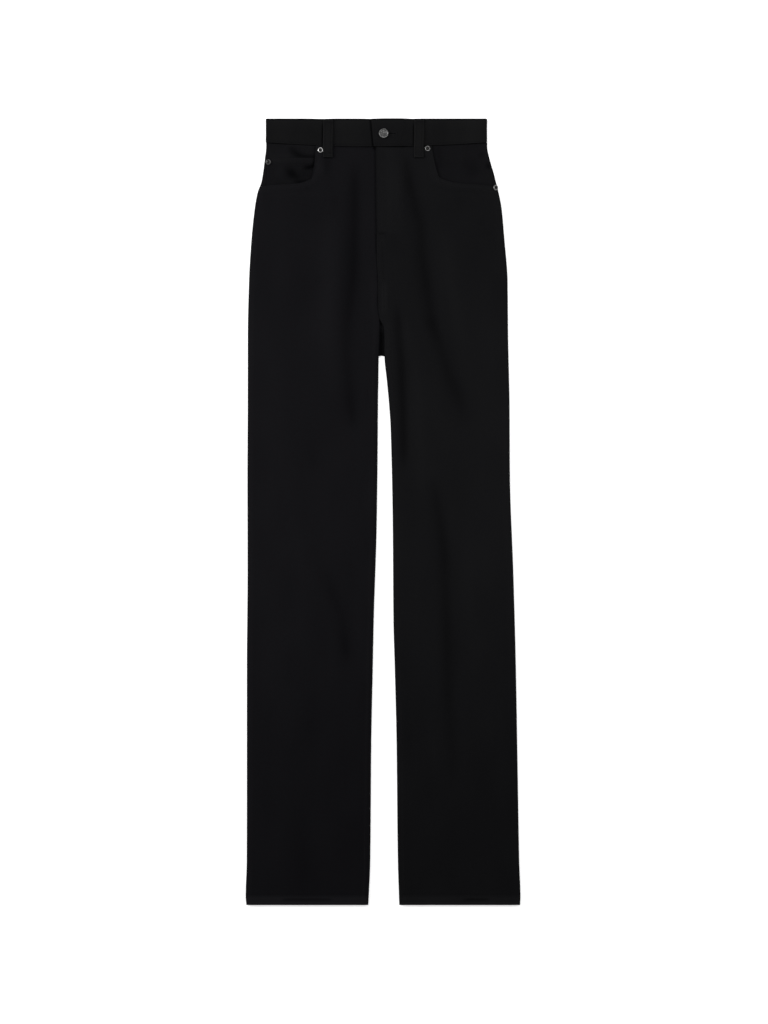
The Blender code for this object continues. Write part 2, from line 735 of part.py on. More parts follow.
def highest(objects, across, drop, radius=0.0):
    """Highest point of these objects under a small round spot, in millimetres."""
    graph = bpy.context.evaluated_depsgraph_get()
    spots = [(0.0, 0.0)]
    for share in (0.5, 1.0):
        for k in range(12):
            turn = 2.0 * math.pi * k / 12.0
            spots.append((radius * share * math.cos(turn), radius * share * math.sin(turn)))
    top = 0.0
    for obj in objects:
        tree = BVHTree.FromObject(obj, graph)
        for off_x, off_d in spots:
            start = point(across + off_x, drop + off_d, 100.0)
            hit = tree.ray_cast(start, Vector((0.0, 0.0, -1.0)))[0]
            if hit is not None:
                top = max(top, hit.z / MM)
    return top


def make_front_loop(side, under, finish):
    """Folded strip that lies over the waistband and ends on the front below it."""
    middle = FRONT_LOOPS[side]
    drops = (LOOP_TOP, 5.0, 12.0, 20.0, 28.0, 36.0, 42.0, 47.0, 52.0, FRONT_LOOP_END)
    seats = []
    for drop in drops:
        seat = max(highest(under, middle + off, drop, 2.0) for off in (-6.0, 0.0, 6.0)) + SEAM
        slack = LOOP_SLACK * math.sin(math.pi * smooth((drop - LOOP_TOP) / (FRONT_LOOP_END - LOOP_TOP)))
        seats.append(seat + slack)
    # A strip of this stiffness bridges the step at the waistband's edge
    for k in range(1, len(seats) - 1):
        seats[k] = max(seats[k], (seats[k - 1] + seats[k + 1]) / 2.0)
    half = LOOP_WIDTH / 2.0
    offs = (-half, -half + 1.2, 0.0, half - 1.2, half)
    plan = [[(middle + off, drop) for off in offs] for drop in drops]
    rows = dict(zip(drops, seats))

    def low(across, drop):
        return rows[drop]

    def wall(across, drop):
        at_edge = abs(abs(across - middle) - half) < 0.1
        return LOOP_WALL - (LOOP_EDGE_THINNING if at_edge else 0.0)

    return sheet(f"belt_loop_front_{side}", plan, low, wall, finish)


def pocket_wall(across, drop):
    return POCKET_WALL


def make_facing(side, finish):
    """Cloth behind a pocket mouth, sewn in at the side seam and the waistband."""
    plan = []
    for share in even(0.0, 1.0, 8):
        drop = mix(BAND_SIDE_DROP, FACING_LOW_DROP, share)
        places = even(side_seam(side, drop), FACING_INNER[side], 9)
        plan.append([(across, mix(band_drop(across) + SEAM, FACING_LOW_DROP, share)) for across in places])
    return sheet(f"pocket_facing_{side}", plan, facing_low, pocket_wall, finish)


def make_coin_pocket(finish):
    places = even(COIN_OUTER, COIN_INNER, 10)
    plan = [[(across, drop) for across in places] for drop in even(COIN_TOP, COIN_LOW, 7)]
    return sheet("coin_pocket", plan, coin_low, pocket_wall, finish)


def make_rivet(name, under, finish):
    across, drop = RIVETS[name]
    seat = highest(under, across, drop, RIVET_RADIUS) + SEAM
    return turned(name, RIVET_PROFILE, across, drop, seat, finish, segments=14)


def cut_buttonhole(waistband, guide):
    """Keyhole through the over end only: a round eye for the shank, and a slit."""
    low, depth = UNDER_END_Z + BAND_WALL / 2.0 + BUTTONHOLE_CLEARANCE, BUTTONHOLE_CUT
    eye = SHANK_RADIUS + 0.5
    profile = [(0.0, 0.0), (eye, 0.0), (eye, depth), (0.0, depth)]
    cut(waistband, turned("buttonhole_eye", profile, BUTTON_ACROSS, BUTTON_DROP, low, guide))
    half = BUTTONHOLE_WIDTH / 2.0
    end = BUTTON_ACROSS + BUTTONHOLE_LENGTH
    slit = [(BUTTON_ACROSS, BUTTON_DROP - half), (end, BUTTON_DROP - half),
            (end, BUTTON_DROP + half), (BUTTON_ACROSS, BUTTON_DROP + half)]
    cut(waistband, prism("buttonhole_slit", slit, low, low + depth, guide))


def main():
    for obj in list(bpy.data.objects):
        bpy.data.objects.remove(obj, do_unlink=True)

    denim = material("black_denim", (0.0075, 0.007, 0.008), 0.92)
    band_denim = material("waistband_denim", (0.009, 0.0085, 0.0095), 0.9)
    inner_denim = material("pocket_denim", (0.0065, 0.006, 0.007), 0.93)
    metal = material("aged_nickel", (0.23, 0.22, 0.21), 0.42, 1.0)
    dark_metal = material("dark_nickel", (0.09, 0.088, 0.085), 0.5, 1.0)
    guide = material("cutter", (0.5, 0.5, 0.5), 0.5)

    waistband = make_waistband(band_denim)
    cut_buttonhole(waistband, guide)
    fronts, facings = {}, {}
    for side in ("right", "left"):
        fronts[side] = make_front(side, denim)
        facings[side] = make_facing(side, inner_denim)
        back = make_back(side, denim)
        middle = BACK_POCKETS[side]
        prism(f"back_pocket_{side}", back_pocket_outline(middle), 0.0, POCKET_WALL, denim)
        press_in(back, f"pocket_recess_{side}", back_pocket_outline(middle, RECESS_MARGIN), guide)
        yoke = make_yoke(side, denim)
        for spot in (side, "centre"):
            outline = loop_outline(BACK_LOOPS[spot], BACK_LOOP_END, CUTTER_START, RECESS_MARGIN)
            press_in(yoke, f"loop_recess_{side}_{spot}", outline, guide)
    for spot, middle in BACK_LOOPS.items():
        prism(f"belt_loop_back_{spot}", loop_outline(middle, BACK_LOOP_END), 0.0, BACK_LOOP_WALL, denim)
        outline = loop_outline(middle, BACK_LOOP_END, CUTTER_START, RECESS_MARGIN)
        press_in(waistband, f"band_recess_{spot}", outline, guide)
    coin_pocket = make_coin_pocket(denim)

    bpy.context.view_layer.update()
    for side, front in fronts.items():
        make_front_loop(side, (front, waistband), denim)
    seat = UNDER_END_Z + BAND_WALL / 2.0 + SEAM
    turned("button", BUTTON_PROFILE, BUTTON_ACROSS, BUTTON_DROP, seat, metal, segments=24)
    tops = (*fronts.values(), *facings.values(), waistband, coin_pocket)
    for name in RIVETS:
        make_rivet(name, tops, metal if "mouth" in name else dark_metal)


main()
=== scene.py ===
"""Looks of the slim jeans: cloth shells with their creases, seams and sewing, and the metal pieces.

Sizes are in millimetres until a mesh is made. "Across" is a place along X, positive to the wearer's
left, and a "drop" is a distance down from the waistband's top edge.
"""

import math
from functools import partial

import bpy
import numpy as np
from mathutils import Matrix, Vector

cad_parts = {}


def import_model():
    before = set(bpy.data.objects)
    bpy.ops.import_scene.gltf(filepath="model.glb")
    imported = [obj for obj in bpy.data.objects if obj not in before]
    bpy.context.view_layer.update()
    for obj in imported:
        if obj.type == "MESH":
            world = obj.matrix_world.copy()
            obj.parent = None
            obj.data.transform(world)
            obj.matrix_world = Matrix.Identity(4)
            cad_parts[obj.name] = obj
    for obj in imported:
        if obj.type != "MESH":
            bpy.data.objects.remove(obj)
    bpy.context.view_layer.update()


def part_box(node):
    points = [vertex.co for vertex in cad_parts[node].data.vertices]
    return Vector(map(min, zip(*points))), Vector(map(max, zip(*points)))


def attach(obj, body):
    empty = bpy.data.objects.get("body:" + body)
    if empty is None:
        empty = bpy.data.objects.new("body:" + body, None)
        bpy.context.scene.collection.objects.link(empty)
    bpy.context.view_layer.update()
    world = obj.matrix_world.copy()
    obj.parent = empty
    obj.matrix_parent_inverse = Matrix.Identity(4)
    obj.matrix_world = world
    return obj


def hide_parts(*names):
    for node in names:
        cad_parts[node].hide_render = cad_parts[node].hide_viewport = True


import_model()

MM = 0.001
TURN = 2 * math.pi
BODY = "root"
# Direction of the wearer's sides along X, and the sides' columns in the tables
SIGN = {"right": -1, "left": 1}
COLUMN = {"right": 1, "left": 2}

# Driving sizes, the same as the solids have
LENGTH = 1120
WALL = 1.2
POCKET_WALL = 1
SEAM = 0.3
CROTCH = 338
HEM_DEPTH = 16
HEM_EXTRA = 0.6
# The backs' outer faces stand this far above the surface, on their sewing
SEWING_CLEARANCE = 0.32

SIDES = (
    # drop, right, left
    (0, -167.1, 148.3),
    (40, -166.5, 148.4),
    (56, -168.2, 151.4),
    (79, -171.2, 158),
    (90, -173.2, 160.7),
    (107, -178.9, 164.8),
    (127, -182.6, 168.7),
    (173, -187.5, 173),
    (230, -190.9, 177.4),
    (310, -192.7, 178.2),
    (407, -192.8, 180.2),
    (509, -193.2, 180.8),
    (646, -193, 185.6),
    (783, -194, 189.3),
    (953, -194, 192.2),
    (1056, -194.2, 194),
    (1107, -195.7, 195.7),
    (1120, -194.7, 195.2),
)
FLY_LOW = 166
FLY_EDGES = (
    # drop, right, left
    (38, 6, -10.9),
    (140, 5, -9.8),
    (166, -9.7, -9.4),
)
CENTRE_LOW = 286
CENTRE_SEAM = (
    # drop, across
    (166, -9.55),
    (197, -9.45),
    (230, -7.55),
    (273, -7),
    (286, -5),
)
INSEAMS = (
    # drop, right, left
    (286, -5.15, -4.85),
    (298, -4.9, 1.2),
    (312, -5, 1.9),
    (339, -6.2, 2.1),
    (372, -6.6, 5.3),
    (407, -7.2, 8.6),
    (441, -7.4, 10.8),
    (577, -9, 13.8),
    (714, -13.2, 14.8),
    (783, -14.6, 16.7),
    (885, -16.7, 19.2),
    (1056, -18.2, 21.1),
    (1120, -20.9, 23.1),
)
BACK_SEAM_TOP = -9.2
BACK_SEAM_LOW = -2.1
MOUTHS = {
    # across, drop
    "right": ((-175.3, 97), (-156.7, 94.6), (-125.4, 92.8), (-112.6, 90.4), (-101.2, 84),
              (-97.6, 70.5), (-96.9, 55), (-95.5, 38.5)),
    "left": ((162.7, 97), (145.2, 94.8), (109.6, 91.8), (95.3, 89.4), (76.8, 81),
             (72.6, 64), (70.8, 50), (69.7, 38.7)),
}
# Drop at which the pocket mouths turn up towards the waistband
MOUTH_TURN = 90
# Lower faces of the two fronts at the fly, the right one's under the left one's
FLY_UNDER_Z = 2.85
FLY_OVER_Z = 4.45
LOFT = (
    # drop, height
    (38, 2.4),
    (60, 2.6),
    (110, 2.6),
    (250, 2.6),
    (340, 2.7),
    (450, 2.4),
    (700, 2.2),
    (950, 2),
    (1120, 1.9),
)
# Main folds of the fronts, as the solids have them, each a line of stations. A depth below zero is a trough
FOLDS = (
    # across, drop, depth, half width
    ((-39.9, 56, 0, 12), (-39.9, 88, -0.8, 12), (-40.7, 123, -1.1, 13), (-41.4, 173, -1.4, 13),
     (-42.8, 216, -1.4, 13), (-47.1, 258, -1.3, 13), (-49.9, 294, -1, 13), (-51.3, 337, -0.9, 13),
     (-48.5, 372, -1, 13), (-44.2, 415, -1, 12), (-39.9, 444, 0, 12)),
    ((32.7, 46, 0, 11), (37, 85, -1, 11), (44.1, 123, -1.2, 12), (52.6, 156, -1.1, 12),
     (55.5, 194, -1.1, 12), (62.6, 241, -1.2, 12), (69.7, 290, -1.3, 13), (81.1, 322, -1.1, 13),
     (92.5, 361, -1, 13), (106.7, 394, -1, 13), (121, 444, 0, 12)),
    ((20.6, 267, 0, 8), (21.3, 308, -0.8, 9), (25.6, 358, -1, 9), (28.4, 415, -1, 9), (29.8, 465, -0.9, 9),
     (31.3, 508, 0, 9)),
    ((69.7, 506, 0, 11), (75.4, 539, -0.7, 11), (82.5, 586, -0.9, 12), (88.2, 629, -1.1, 12),
     (91.1, 686, -1.1, 12), (92.5, 757, -1.1, 12), (94.6, 842, -0.9, 12), (98.2, 913, -0.5, 12),
     (99.6, 970, 0, 12)),
    ((-84.1, 637, 0, 13), (-74.1, 669, -0.7, 13), (-59.9, 706, -0.8, 13), (-52.8, 750, -0.9, 12),
     (-49.9, 788, 0, 12)),
    ((-72, 110, 0, 18), (-76, 180, 0.5, 20), (-82, 300, 0.5, 20), (-84, 400, 0, 18)),
    ((84, 130, 0, 15), (92, 200, 0.5, 16), (108, 290, 0.5, 16), (122, 350, 0, 15)),
    ((45, 300, 0, 12), (49, 372, 0.5, 13), (53, 458, 0.5, 13), (58, 540, 0, 12)),
    ((-112, 560, 0, 20), (-116, 700, 0.4, 20), (-118, 860, 0, 20)),
    ((118, 560, 0, 18), (126, 690, 0.5, 18), (130, 860, 0, 18)),
)
# Finer creases that only the cloth shells have
FRONT_CREASES = (
    # across, drop, depth, half width
    ((-79.8, 45, 0, 4), (-79.8, 68, -0.4, 4.5), (-79.8, 105, 0, 4)),
    ((-24.3, 45, 0, 7), (-24.3, 116, 0.3, 8), (-27.1, 201, 0.3, 8), (-30, 258, 0, 8)),
    ((22.7, 48, 0, 5), (22.7, 95, 0.4, 6), (24.1, 152, 0.35, 6), (27, 187, 0, 6)),
    ((-68.4, 116, 0, 10), (-67, 187, 0.25, 12), (-71.3, 301, 0.2, 12), (-69.8, 401, 0, 10)),
    ((106.7, 102, 0, 6), (111, 116, -0.3, 7), (112.4, 139, 0, 7)),
    ((129.5, 159, 0, 5), (146.6, 164, -0.35, 6), (163.7, 166, 0, 6)),
    ((69.7, 378, 0, 10), (81.1, 429, 0.25, 12), (89.6, 486, 0, 12)),
    ((-106.9, 458, 0, 6), (-99.8, 482, -0.3, 6), (-95.5, 506, 0, 6)),
    ((-24.3, 379, 0, 4), (-21.4, 401, -0.3, 5), (-24.3, 426, 0, 5)),
    ((-27.1, 479, 0, 6), (-22.9, 500, -0.3, 6), (-32.8, 550, -0.2, 7), (-38.5, 572, 0, 7)),
    ((-104, 600, 0, 9), (-96.9, 629, -0.25, 10), (-86.9, 660, 0, 9)),
    ((106.7, 686, 0, 8), (112.4, 800, 0.3, 10), (113.8, 913, 0.2, 10), (115.3, 985, 0, 10)),
    ((75.4, 629, 0, 7), (76.8, 743, 0.3, 8), (79.7, 856, 0, 8)),
    ((-38.5, 671, 0, 7), (-32.8, 728, 0.3, 8), (-35.7, 785, 0, 8)),
    ((-132.5, 743, 0, 9), (-126.8, 778, -0.25, 10), (-118.3, 814, 0, 9)),
    ((-105.4, 849, 0, 9), (-99.8, 878, -0.3, 10), (-98.3, 921, 0, 9)),
    ((-30, 792, 0, 6), (-25.7, 814, -0.25, 6), (-30, 845, 0, 6)),
    ((123.8, 764, 0, 8), (143.8, 774, -0.2, 9), (155.1, 777, 0, 8)),
    ((29.8, 821, 0, 5), (34.1, 842, -0.25, 6), (38.4, 892, -0.25, 6), (41.2, 956, 0, 6)),
    ((69.7, 871, 0, 4), (72.6, 896, 0.25, 4), (74, 928, 0.2, 4), (75.4, 963, 0, 4)),
    ((-67, 990, 0, 8), (-52.8, 1005, -0.2, 9), (-35.7, 1010, 0, 8)),
    ((98.2, 1025, 0, 9), (109.6, 1042, -0.2, 10), (115.3, 1064, 0, 9)),
    ((-152.4, 828, 0, 8), (-158.1, 849, -0.25, 8), (-163.8, 878, 0, 8)),
    ((-118.3, 1042, 0, 10), (-111.1, 1070, -0.2, 11), (-109.7, 1099, 0, 10)),
    ((34.1, 44, 0, 3.6), (37, 78, -0.25, 4.4), (41.2, 108, -0.25, 5), (48, 134, 0, 5)),
    ((53, 150, 0, 5), (60, 230, -0.1, 6), (66, 270, 0, 5)),
    ((65, 272, 0, 7), (70.5, 292, -0.55, 9), (75, 303, -0.4, 8), (84, 324, 0, 7)),
    ((21, 262, 0, 3.6), (22, 283, -0.9, 4.4), (25.6, 315, -0.8, 5), (28.4, 358, -0.9, 5),
     (29.8, 401, -0.75, 5), (29.8, 444, -0.65, 5), (30.2, 476, -0.7, 5), (30.5, 502, 0, 5)),
    ((-39.9, 60, 0, 5), (-40.2, 105, -0.5, 5), (-40.6, 135, -0.25, 6), (-42, 190, 0, 6)),
    ((-47, 380, 0, 5), (-43.4, 412, -0.2, 5.5), (-41.4, 436, -0.3, 5.5), (-39, 452, 0, 5)),
    ((78, 530, 0, 5), (87.5, 590, -0.4, 5.5), (90.5, 622, -0.4, 5.5), (93, 650, 0, 5)),
    ((-57, 732, 0, 6), (-53.4, 756, -0.6, 7), (-51, 772, 0, 6)),
    ((32, 284, 0, 6), (35.6, 308, 0.5, 7), (40, 340, 0, 7)),
    ((-20, 206, 0, 7), (-15.7, 238, 0.35, 8), (-17, 290, 0, 8)),
    ((134, 144, 0, 4), (140, 149, -0.4, 4.5), (147, 154, 0, 4)),
    ((-85, 222, 0, 5), (-91, 231, -0.35, 6), (-97, 240, 0, 5)),
)
# Falls of the cloth in the two front pockets, on their facings and then on the coin pocket
FACING_CREASES = (
    # across, drop, depth, half width
    ((-136.5, 38, 0, 4), (-130, 45, -0.35, 5.4), (-122.5, 51, -0.5, 5), (-111.1, 54.4, -0.5, 3.4),
     (-96.2, 54.8, -0.5, 3)),
    ((76.5, 32, -0.1, 6), (78, 46, -0.22, 6.5), (80, 60, -0.16, 6.5), (82, 76, 0, 6)),
    ((112, 58, 0, 10), (126, 72, -0.2, 12), (134, 86, 0, 11)),
    ((133.8, 55, 0, 3), (140, 52, -0.22, 3.5), (146.6, 49, 0, 3)),
    ((149, 61, 0, 3), (150, 67.6, -0.5, 3.5), (150, 74, 0, 3)),
)
COIN_CREASES = (
    # across, drop, depth, half width
    ((-96.2, 56.5, -0.5, 2.8), (-96.6, 63.4, -0.62, 3), (-100.5, 68, -0.66, 3), (-107, 69.9, -0.62, 3),
     (-116.4, 69.6, 0, 2.6)),
    ((-140, 66, 0, 5), (-131.1, 77.3, -0.5, 7.2), (-124, 83.3, -0.36, 4.6), (-115, 86, 0, 3)),
    ((-129.7, 89, 0, 2), (-121.1, 90.5, -0.5, 2.2), (-111.1, 89.3, -0.35, 2.2), (-105.4, 86.5, 0, 2)),
    ((-152, 68, 0, 8), (-148, 76, 0.2, 8), (-150, 90, 0, 8)),
)
# Shallow hollows of the underside, where the cloth lifts off the surface
BACK_CREASES = (
    # across, drop, depth, half width
    ((-60, 300, 0, 9), (-104, 316, 0.6, 9), (-150, 345, 0, 9)),
    ((-50, 335, 0, 9), (-92, 356, 0.5, 9), (-140, 392, 0, 9)),
    ((-44, 470, 0, 10), (-80, 482, 0.4, 10), (-120, 505, 0, 10)),
    ((-90, 560, 0, 10), (-124, 584, 0.35, 10), (-150, 620, 0, 10)),
    ((-60, 690, 0, 10), (-98, 716, 0.5, 10), (-130, 730, 0, 10)),
    ((-50, 745, 0, 9), (-94, 752, 0.45, 9), (-140, 770, 0, 9)),
    ((-70, 960, 0, 11), (-106, 980, 0.3, 11), (-140, 1010, 0, 11)),
    ((52, 305, 0, 9), (94, 318, 0.6, 9), (140, 342, 0, 9)),
    ((45, 342, 0, 9), (86, 362, 0.5, 9), (130, 396, 0, 9)),
    ((44, 480, 0, 10), (80, 490, 0.4, 10), (116, 512, 0, 10)),
    ((84, 575, 0, 10), (120, 596, 0.35, 10), (150, 628, 0, 10)),
    ((56, 700, 0, 10), (96, 724, 0.5, 10), (132, 736, 0, 10)),
    ((60, 756, 0, 9), (106, 762, 0.45, 9), (150, 778, 0, 9)),
    ((70, 950, 0, 11), (104, 972, 0.3, 11), (136, 1004, 0, 11)),
)

BAND_WALL = 2.4
BAND_SIDE_DROP = 34
BAND_CENTRE_DROP = 40
BAND_MIDDLE = -9.4
BAND_HALF = 158
BAND_FRONT_Z = 4.5
UNDER_END_Z = 4
OVER_END_Z = 6.7
OVER_END = -15
UNDER_END = 23
OVER_SLANT = 3.6
# Middle of the dark line that the over end casts beside it
OVER_LINE = OVER_END - 1.6
# Places where the front of the waistband steps to the height of each end, and how wide each step is
OVER_STEP = 24
OVER_STEP_WIDTH = 19
UNDER_STEP = -62
UNDER_STEP_WIDTH = 28
BAND_RIGHT, BAND_LEFT = SIDES[0][1:]

LOOP_WIDTH = 14
LOOP_WALL = 1.8
LOOP_TOP = 2
FRONT_LOOP_END = 56
BACK_LOOP_END = 50
# Distance from a front loop's middle of the painted shade beside its left edge and the painted light beside
# its right edge
LOOP_SHADE = 7.8
FRONT_LOOPS = {"right": -78.4, "left": 51.2}
BACK_LOOPS = {"right": -112, "centre": -9.2, "left": 94}

YOKE_SIDE_DROP = 74
YOKE_CENTRE_DROP = 102
YOKE_HALF = 162
BACK_POCKETS = {"right": -97, "left": 82}
BACK_POCKET_TOP = 124
BACK_POCKET_SIDE = 116
BACK_POCKET_POINT = 148
BACK_POCKET_TOP_HALF = 62
BACK_POCKET_LOW_HALF = 55
RECESS_DEPTH = 1.3
# The backs are nowhere thinner than this
LEAST_BACK_WALL = 0.9

FACING_GAP = 0.6
FACING_LOW_DROP = 106
FACING_INNER = {"right": -80, "left": 55}
COIN_GAP = 0.5
COIN_CLEARANCE = 0.2
COIN_OUTER = -165.5
COIN_INNER = -90
COIN_TOP = 56
COIN_LOW = 102

BUTTON_ACROSS = 0.9
BUTTON_DROP = 21.9
BUTTON_RADIUS = 6.9
SHANK_RADIUS = 2.3
BUTTONHOLE_LENGTH = 17
BUTTONHOLE_WIDTH = 0.6
RIVET_RADIUS = 4.1
RIVETS = {
    # across, drop, tilt towards the side, wear
    "rivet_mouth_right": (-89, 45.4, 0, 0.62),
    "rivet_mouth_left": (63.5, 43, 0, 0.3),
    "rivet_coin_pocket": (-163.2, 62.2, -14, 0.16),
    "rivet_side_left": (160.2, 98.6, 30, 0.5),
}

# Sewing
STITCH_PITCH = 3.3
STITCH_LENGTH = 2.5
THREAD_RADIUS = 0.27
# Distances of twin rows of sewing from their edge
TWIN_ROWS = (2, 8)
# Each thread's rings: share of its length, share of its radius, and lift in radii
THREAD_RINGS = ((0, 0.35, -0.75), (0.12, 0.85, -0.2), (0.5, 1, 0), (0.88, 0.85, -0.2), (1, 0.35, -0.75))
TACK_SIZE = 1.6

# Grids of places. A front's rows are level below this drop, and its mouth takes this share of its top row
MOUTH_LEVEL = 135
MOUTH_SHARE = 0.5
GRID_WIDTH = 178
BACK_GRID_WIDTH = 182
# Drops at which the width and the middle of a yoke or a facing are measured
WIDTH_DROP = 105
MIDDLE_DROP = 100
# Places near an edge, close enough to round it
EDGE_STEPS = np.array([0, 0.3, 0.8, 1.5, 2.4, 3.6, 5, 6.6, 8.4, 10.5])
LOOP_PLACES = (0, 0.3, 0.8, 1.4, 2.2, 3, 4, 5.5, 7, 8.5, 10, 11, 11.8, 12.6, 13.2, 13.7, 14)
BACK_LOOP_PLACES = (0, 0.3, 0.8, 1.4, 2.2, 3, 4.5, 7, 9.5, 11, 11.8, 12.6, 13.2, 13.7, 14)

# Finishes
DARKEST = -2.4
DENIMS = {
    # base colour, faded colour for faded dye and painted highlights, dark colour for painted shade, slant of
    # the ribs, mottle
    "denim_front_right": (
        (0.0037, 0.00358, 0.0043), (0.0055, 0.0053, 0.0062), (0.0007, 0.0006, 0.0009), 1.1, 0.2),
    "denim_front_left": (
        (0.0038, 0.0038, 0.00425), (0.0056, 0.0056, 0.0061), (0.0007, 0.0007, 0.0008), 1.1, 0.2),
    "denim_waistband": (
        (0.0038, 0.0038, 0.0041), (0.0058, 0.0058, 0.006), (0.0007, 0.0007, 0.0008), 2, 0.6),
    "denim_pocket": (
        (0.0037, 0.0036, 0.0042), (0.0054, 0.0053, 0.0059), (0.0006, 0.0006, 0.0008), 1.1, 0.2),
}
# Spots of painted highlight (amount above zero) and painted shade (below zero) on some pieces
LIGHT_AND_SHADE_SPOTS = {
    # amount, across, half width, drop, half height
    "front_right": ((-1.5, -12.9, 2.2, 42.4, 1.8), (0.6, -89.5, 4.5, 66, 14), (-0.4, -80, 5, 64, 14)),
    "front_left": ((-1.5, -12.9, 2.2, 42.4, 1.8), (-1.2, -3, 6, 163.5, 1.6), (1, -1.7, 1.6, 175.5, 4.5)),
    "pocket_facing_right": ((0.6, -152, 16, 58, 8),),
    "coin_pocket": ((0.5, -152, 12, 60, 7), (-0.45, -112, 22, 80, 9)),
}
# The lights' common aim, in metres
LIGHT_AIM = Vector((0.0, 0.1, 0.0))


def smooth(t):
    t = np.clip(t, 0, 1)
    return t * t * (3 - 2 * t)


def after(value, start, width):
    """0 up to a place, then rising softly to 1 over a width."""
    return smooth((value - start) / width)


def before(value, end, width):
    """Falls softly from 1 to 0 over the width that ends at a place."""
    return smooth((end - value) / width)


def hill(t):
    """1 at zero, falling to nothing on both sides."""
    return np.exp(-np.square(t))


def around(value, middle, half_width):
    """A hill about a place."""
    return hill((value - middle) / half_width)


def quarter_round(t):
    return np.sqrt(1 - (1 - np.clip(t, 0, 1)) ** 2)


def larger(a, b, blend=0.6):
    near = np.maximum(blend - np.abs(a - b), 0) / blend
    return np.maximum(a, b) + near * near * blend / 4


def mix(a, b, share):
    return a + (b - a) * share


def filled(like, value):
    return np.full(np.shape(like), float(value))


def read(table, at, column=1):
    """A table's values at these places, on a smooth curve that never overshoots its rows."""
    rows = np.array(table, float)
    keys, values = rows[:, 0], rows[:, column]
    rise = np.diff(values) / np.diff(keys)
    slopes = np.concatenate([rise[:1], np.zeros(len(rise) - 1), rise[-1:]])
    same_way = rise[:-1] * rise[1:] > 0
    total = np.where(same_way, rise[:-1] + rise[1:], 1)
    slopes[1:-1] = np.where(same_way, 2 * rise[:-1] * rise[1:] / total, 0)
    at = np.clip(at, keys[0], keys[-1])
    k = np.clip(np.searchsorted(keys, at, side="right") - 1, 0, len(keys) - 2)
    width = keys[k + 1] - keys[k]
    t = (at - keys[k]) / width
    leave = t * (1 - t) ** 2 * width * slopes[k]
    arrive = t * t * (1 - t) * width * slopes[k + 1]
    return values[k] + (values[k + 1] - values[k]) * smooth(t) + leave - arrive


def curve_through(points, per_span=12):
    """Close points on a smooth curve through the given ones."""
    rows = np.array(points, float)
    padded = np.vstack([rows[:1], rows, rows[-1:]])
    t = (np.arange(per_span) / per_span)[:, None]
    fine = []
    for a, b, c, d in zip(padded, padded[1:], padded[2:], padded[3:]):
        fine.append(0.5 * (2 * b + (c - a) * t + (2 * a - 5 * b + 4 * c - d) * t ** 2
                           + (3 * b - a - 3 * c + d) * t ** 3))
    return np.vstack(fine + [rows[-1:]])


def run_of(path):
    """Distance along a path of each of its points."""
    return np.concatenate([[0], np.cumsum(np.hypot(*np.diff(path, axis=0).T))])


def along(path, shares):
    """Points at these shares of a path's length."""
    run = run_of(path)
    want = np.asarray(shares) * run[-1]
    return np.stack([np.interp(want, run, path[:, 0]), np.interp(want, run, path[:, 1])], 1)


def to_path(path, across, drop):
    """Distance from a path, and the distance along it of its nearest point."""
    starts, steps = path[:-1], np.diff(path, axis=0)
    squares = np.maximum((steps ** 2).sum(1), 1e-9)
    bases = np.concatenate([[0], np.cumsum(np.sqrt(squares))])[:-1]
    best, place = filled(across, 1e9), filled(across, 0)
    for (x, d), (run_x, run_d), square, base in zip(starts, steps, squares, bases):
        t = np.clip(((across - x) * run_x + (drop - d) * run_d) / square, 0, 1)
        away = np.hypot(across - x - t * run_x, drop - d - t * run_d)
        nearer = away < best
        best = np.where(nearer, away, best)
        place = np.where(nearer, base + t * math.sqrt(square), place)
    return best, place


def beside(path, offset):
    """A path moved sideways, to the right of its own direction as seen from above."""
    steps = np.gradient(path, axis=0)
    steps /= np.maximum(np.hypot(*steps.T), 1e-9)[:, None]
    return path + offset * np.stack([-steps[:, 1], steps[:, 0]], 1)


def path_of(across, drop):
    """Path from its places and drops, of which one may be a single value."""
    return np.stack(np.broadcast_arrays(across, drop), 1)


def side_seam(side, drop):
    return read(SIDES, drop, COLUMN[side])


def front_edge(side, drop):
    drop = np.asarray(drop, float)
    seam = read(CENTRE_SEAM, drop) + SIGN[side] * SEAM / 2
    lower = np.where(drop < CENTRE_LOW, seam, read(INSEAMS, drop, COLUMN[side]))
    return np.where(drop < FLY_LOW, read(FLY_EDGES, drop, COLUMN[side]), lower)


def back_edge(side, drop):
    drop = np.asarray(drop, float)
    middle = mix(BACK_SEAM_TOP, BACK_SEAM_LOW, drop / CROTCH)
    return np.where(drop > CROTCH, read(INSEAMS, drop, COLUMN[side]), middle)


def band_drop(across):
    reach = (np.asarray(across, float) - BAND_MIDDLE) / BAND_HALF
    return mix(BAND_CENTRE_DROP, BAND_SIDE_DROP, np.minimum(1, reach * reach))


def yoke_drop(across):
    reach = np.minimum(1, np.abs(np.asarray(across, float) - BAND_MIDDLE) / YOKE_HALF)
    return mix(YOKE_CENTRE_DROP, YOKE_SIDE_DROP, reach)


def in_box(across, drop, outer, inner, top, low, fade_across, fade_drop):
    """1 within a box between two places and two drops, fading to 0 outside it."""
    middle, half = (outer + inner) / 2, np.abs(outer - inner) / 2
    out_across = np.maximum(0, np.abs(across - middle) - half) / fade_across
    out_drop = np.maximum(0, np.maximum(top - drop, drop - low)) / fade_drop
    return smooth(1 - np.hypot(out_across, out_drop))


def back_lift(across, drop):
    """How far the backs' inner faces rise over the pockets and belt loops under them."""
    boxes = [(middle, BACK_POCKET_TOP_HALF + 9, BACK_POCKET_TOP - 10,
              BACK_POCKET_TOP + BACK_POCKET_POINT + 11, 12, 14, 1.5) for middle in BACK_POCKETS.values()]
    boxes += [(middle, LOOP_WIDTH / 2 + 9.5, 0, BACK_LOOP_END + 8, 14, 12, 1.2)
              for middle in BACK_LOOPS.values()]
    lift = filled(across, 0)
    for middle, half, *ends_and_fades, height in boxes:
        cover = in_box(across, drop, middle - half, middle + half, *ends_and_fades)
        lift = np.maximum(lift, height * cover)
    return lift


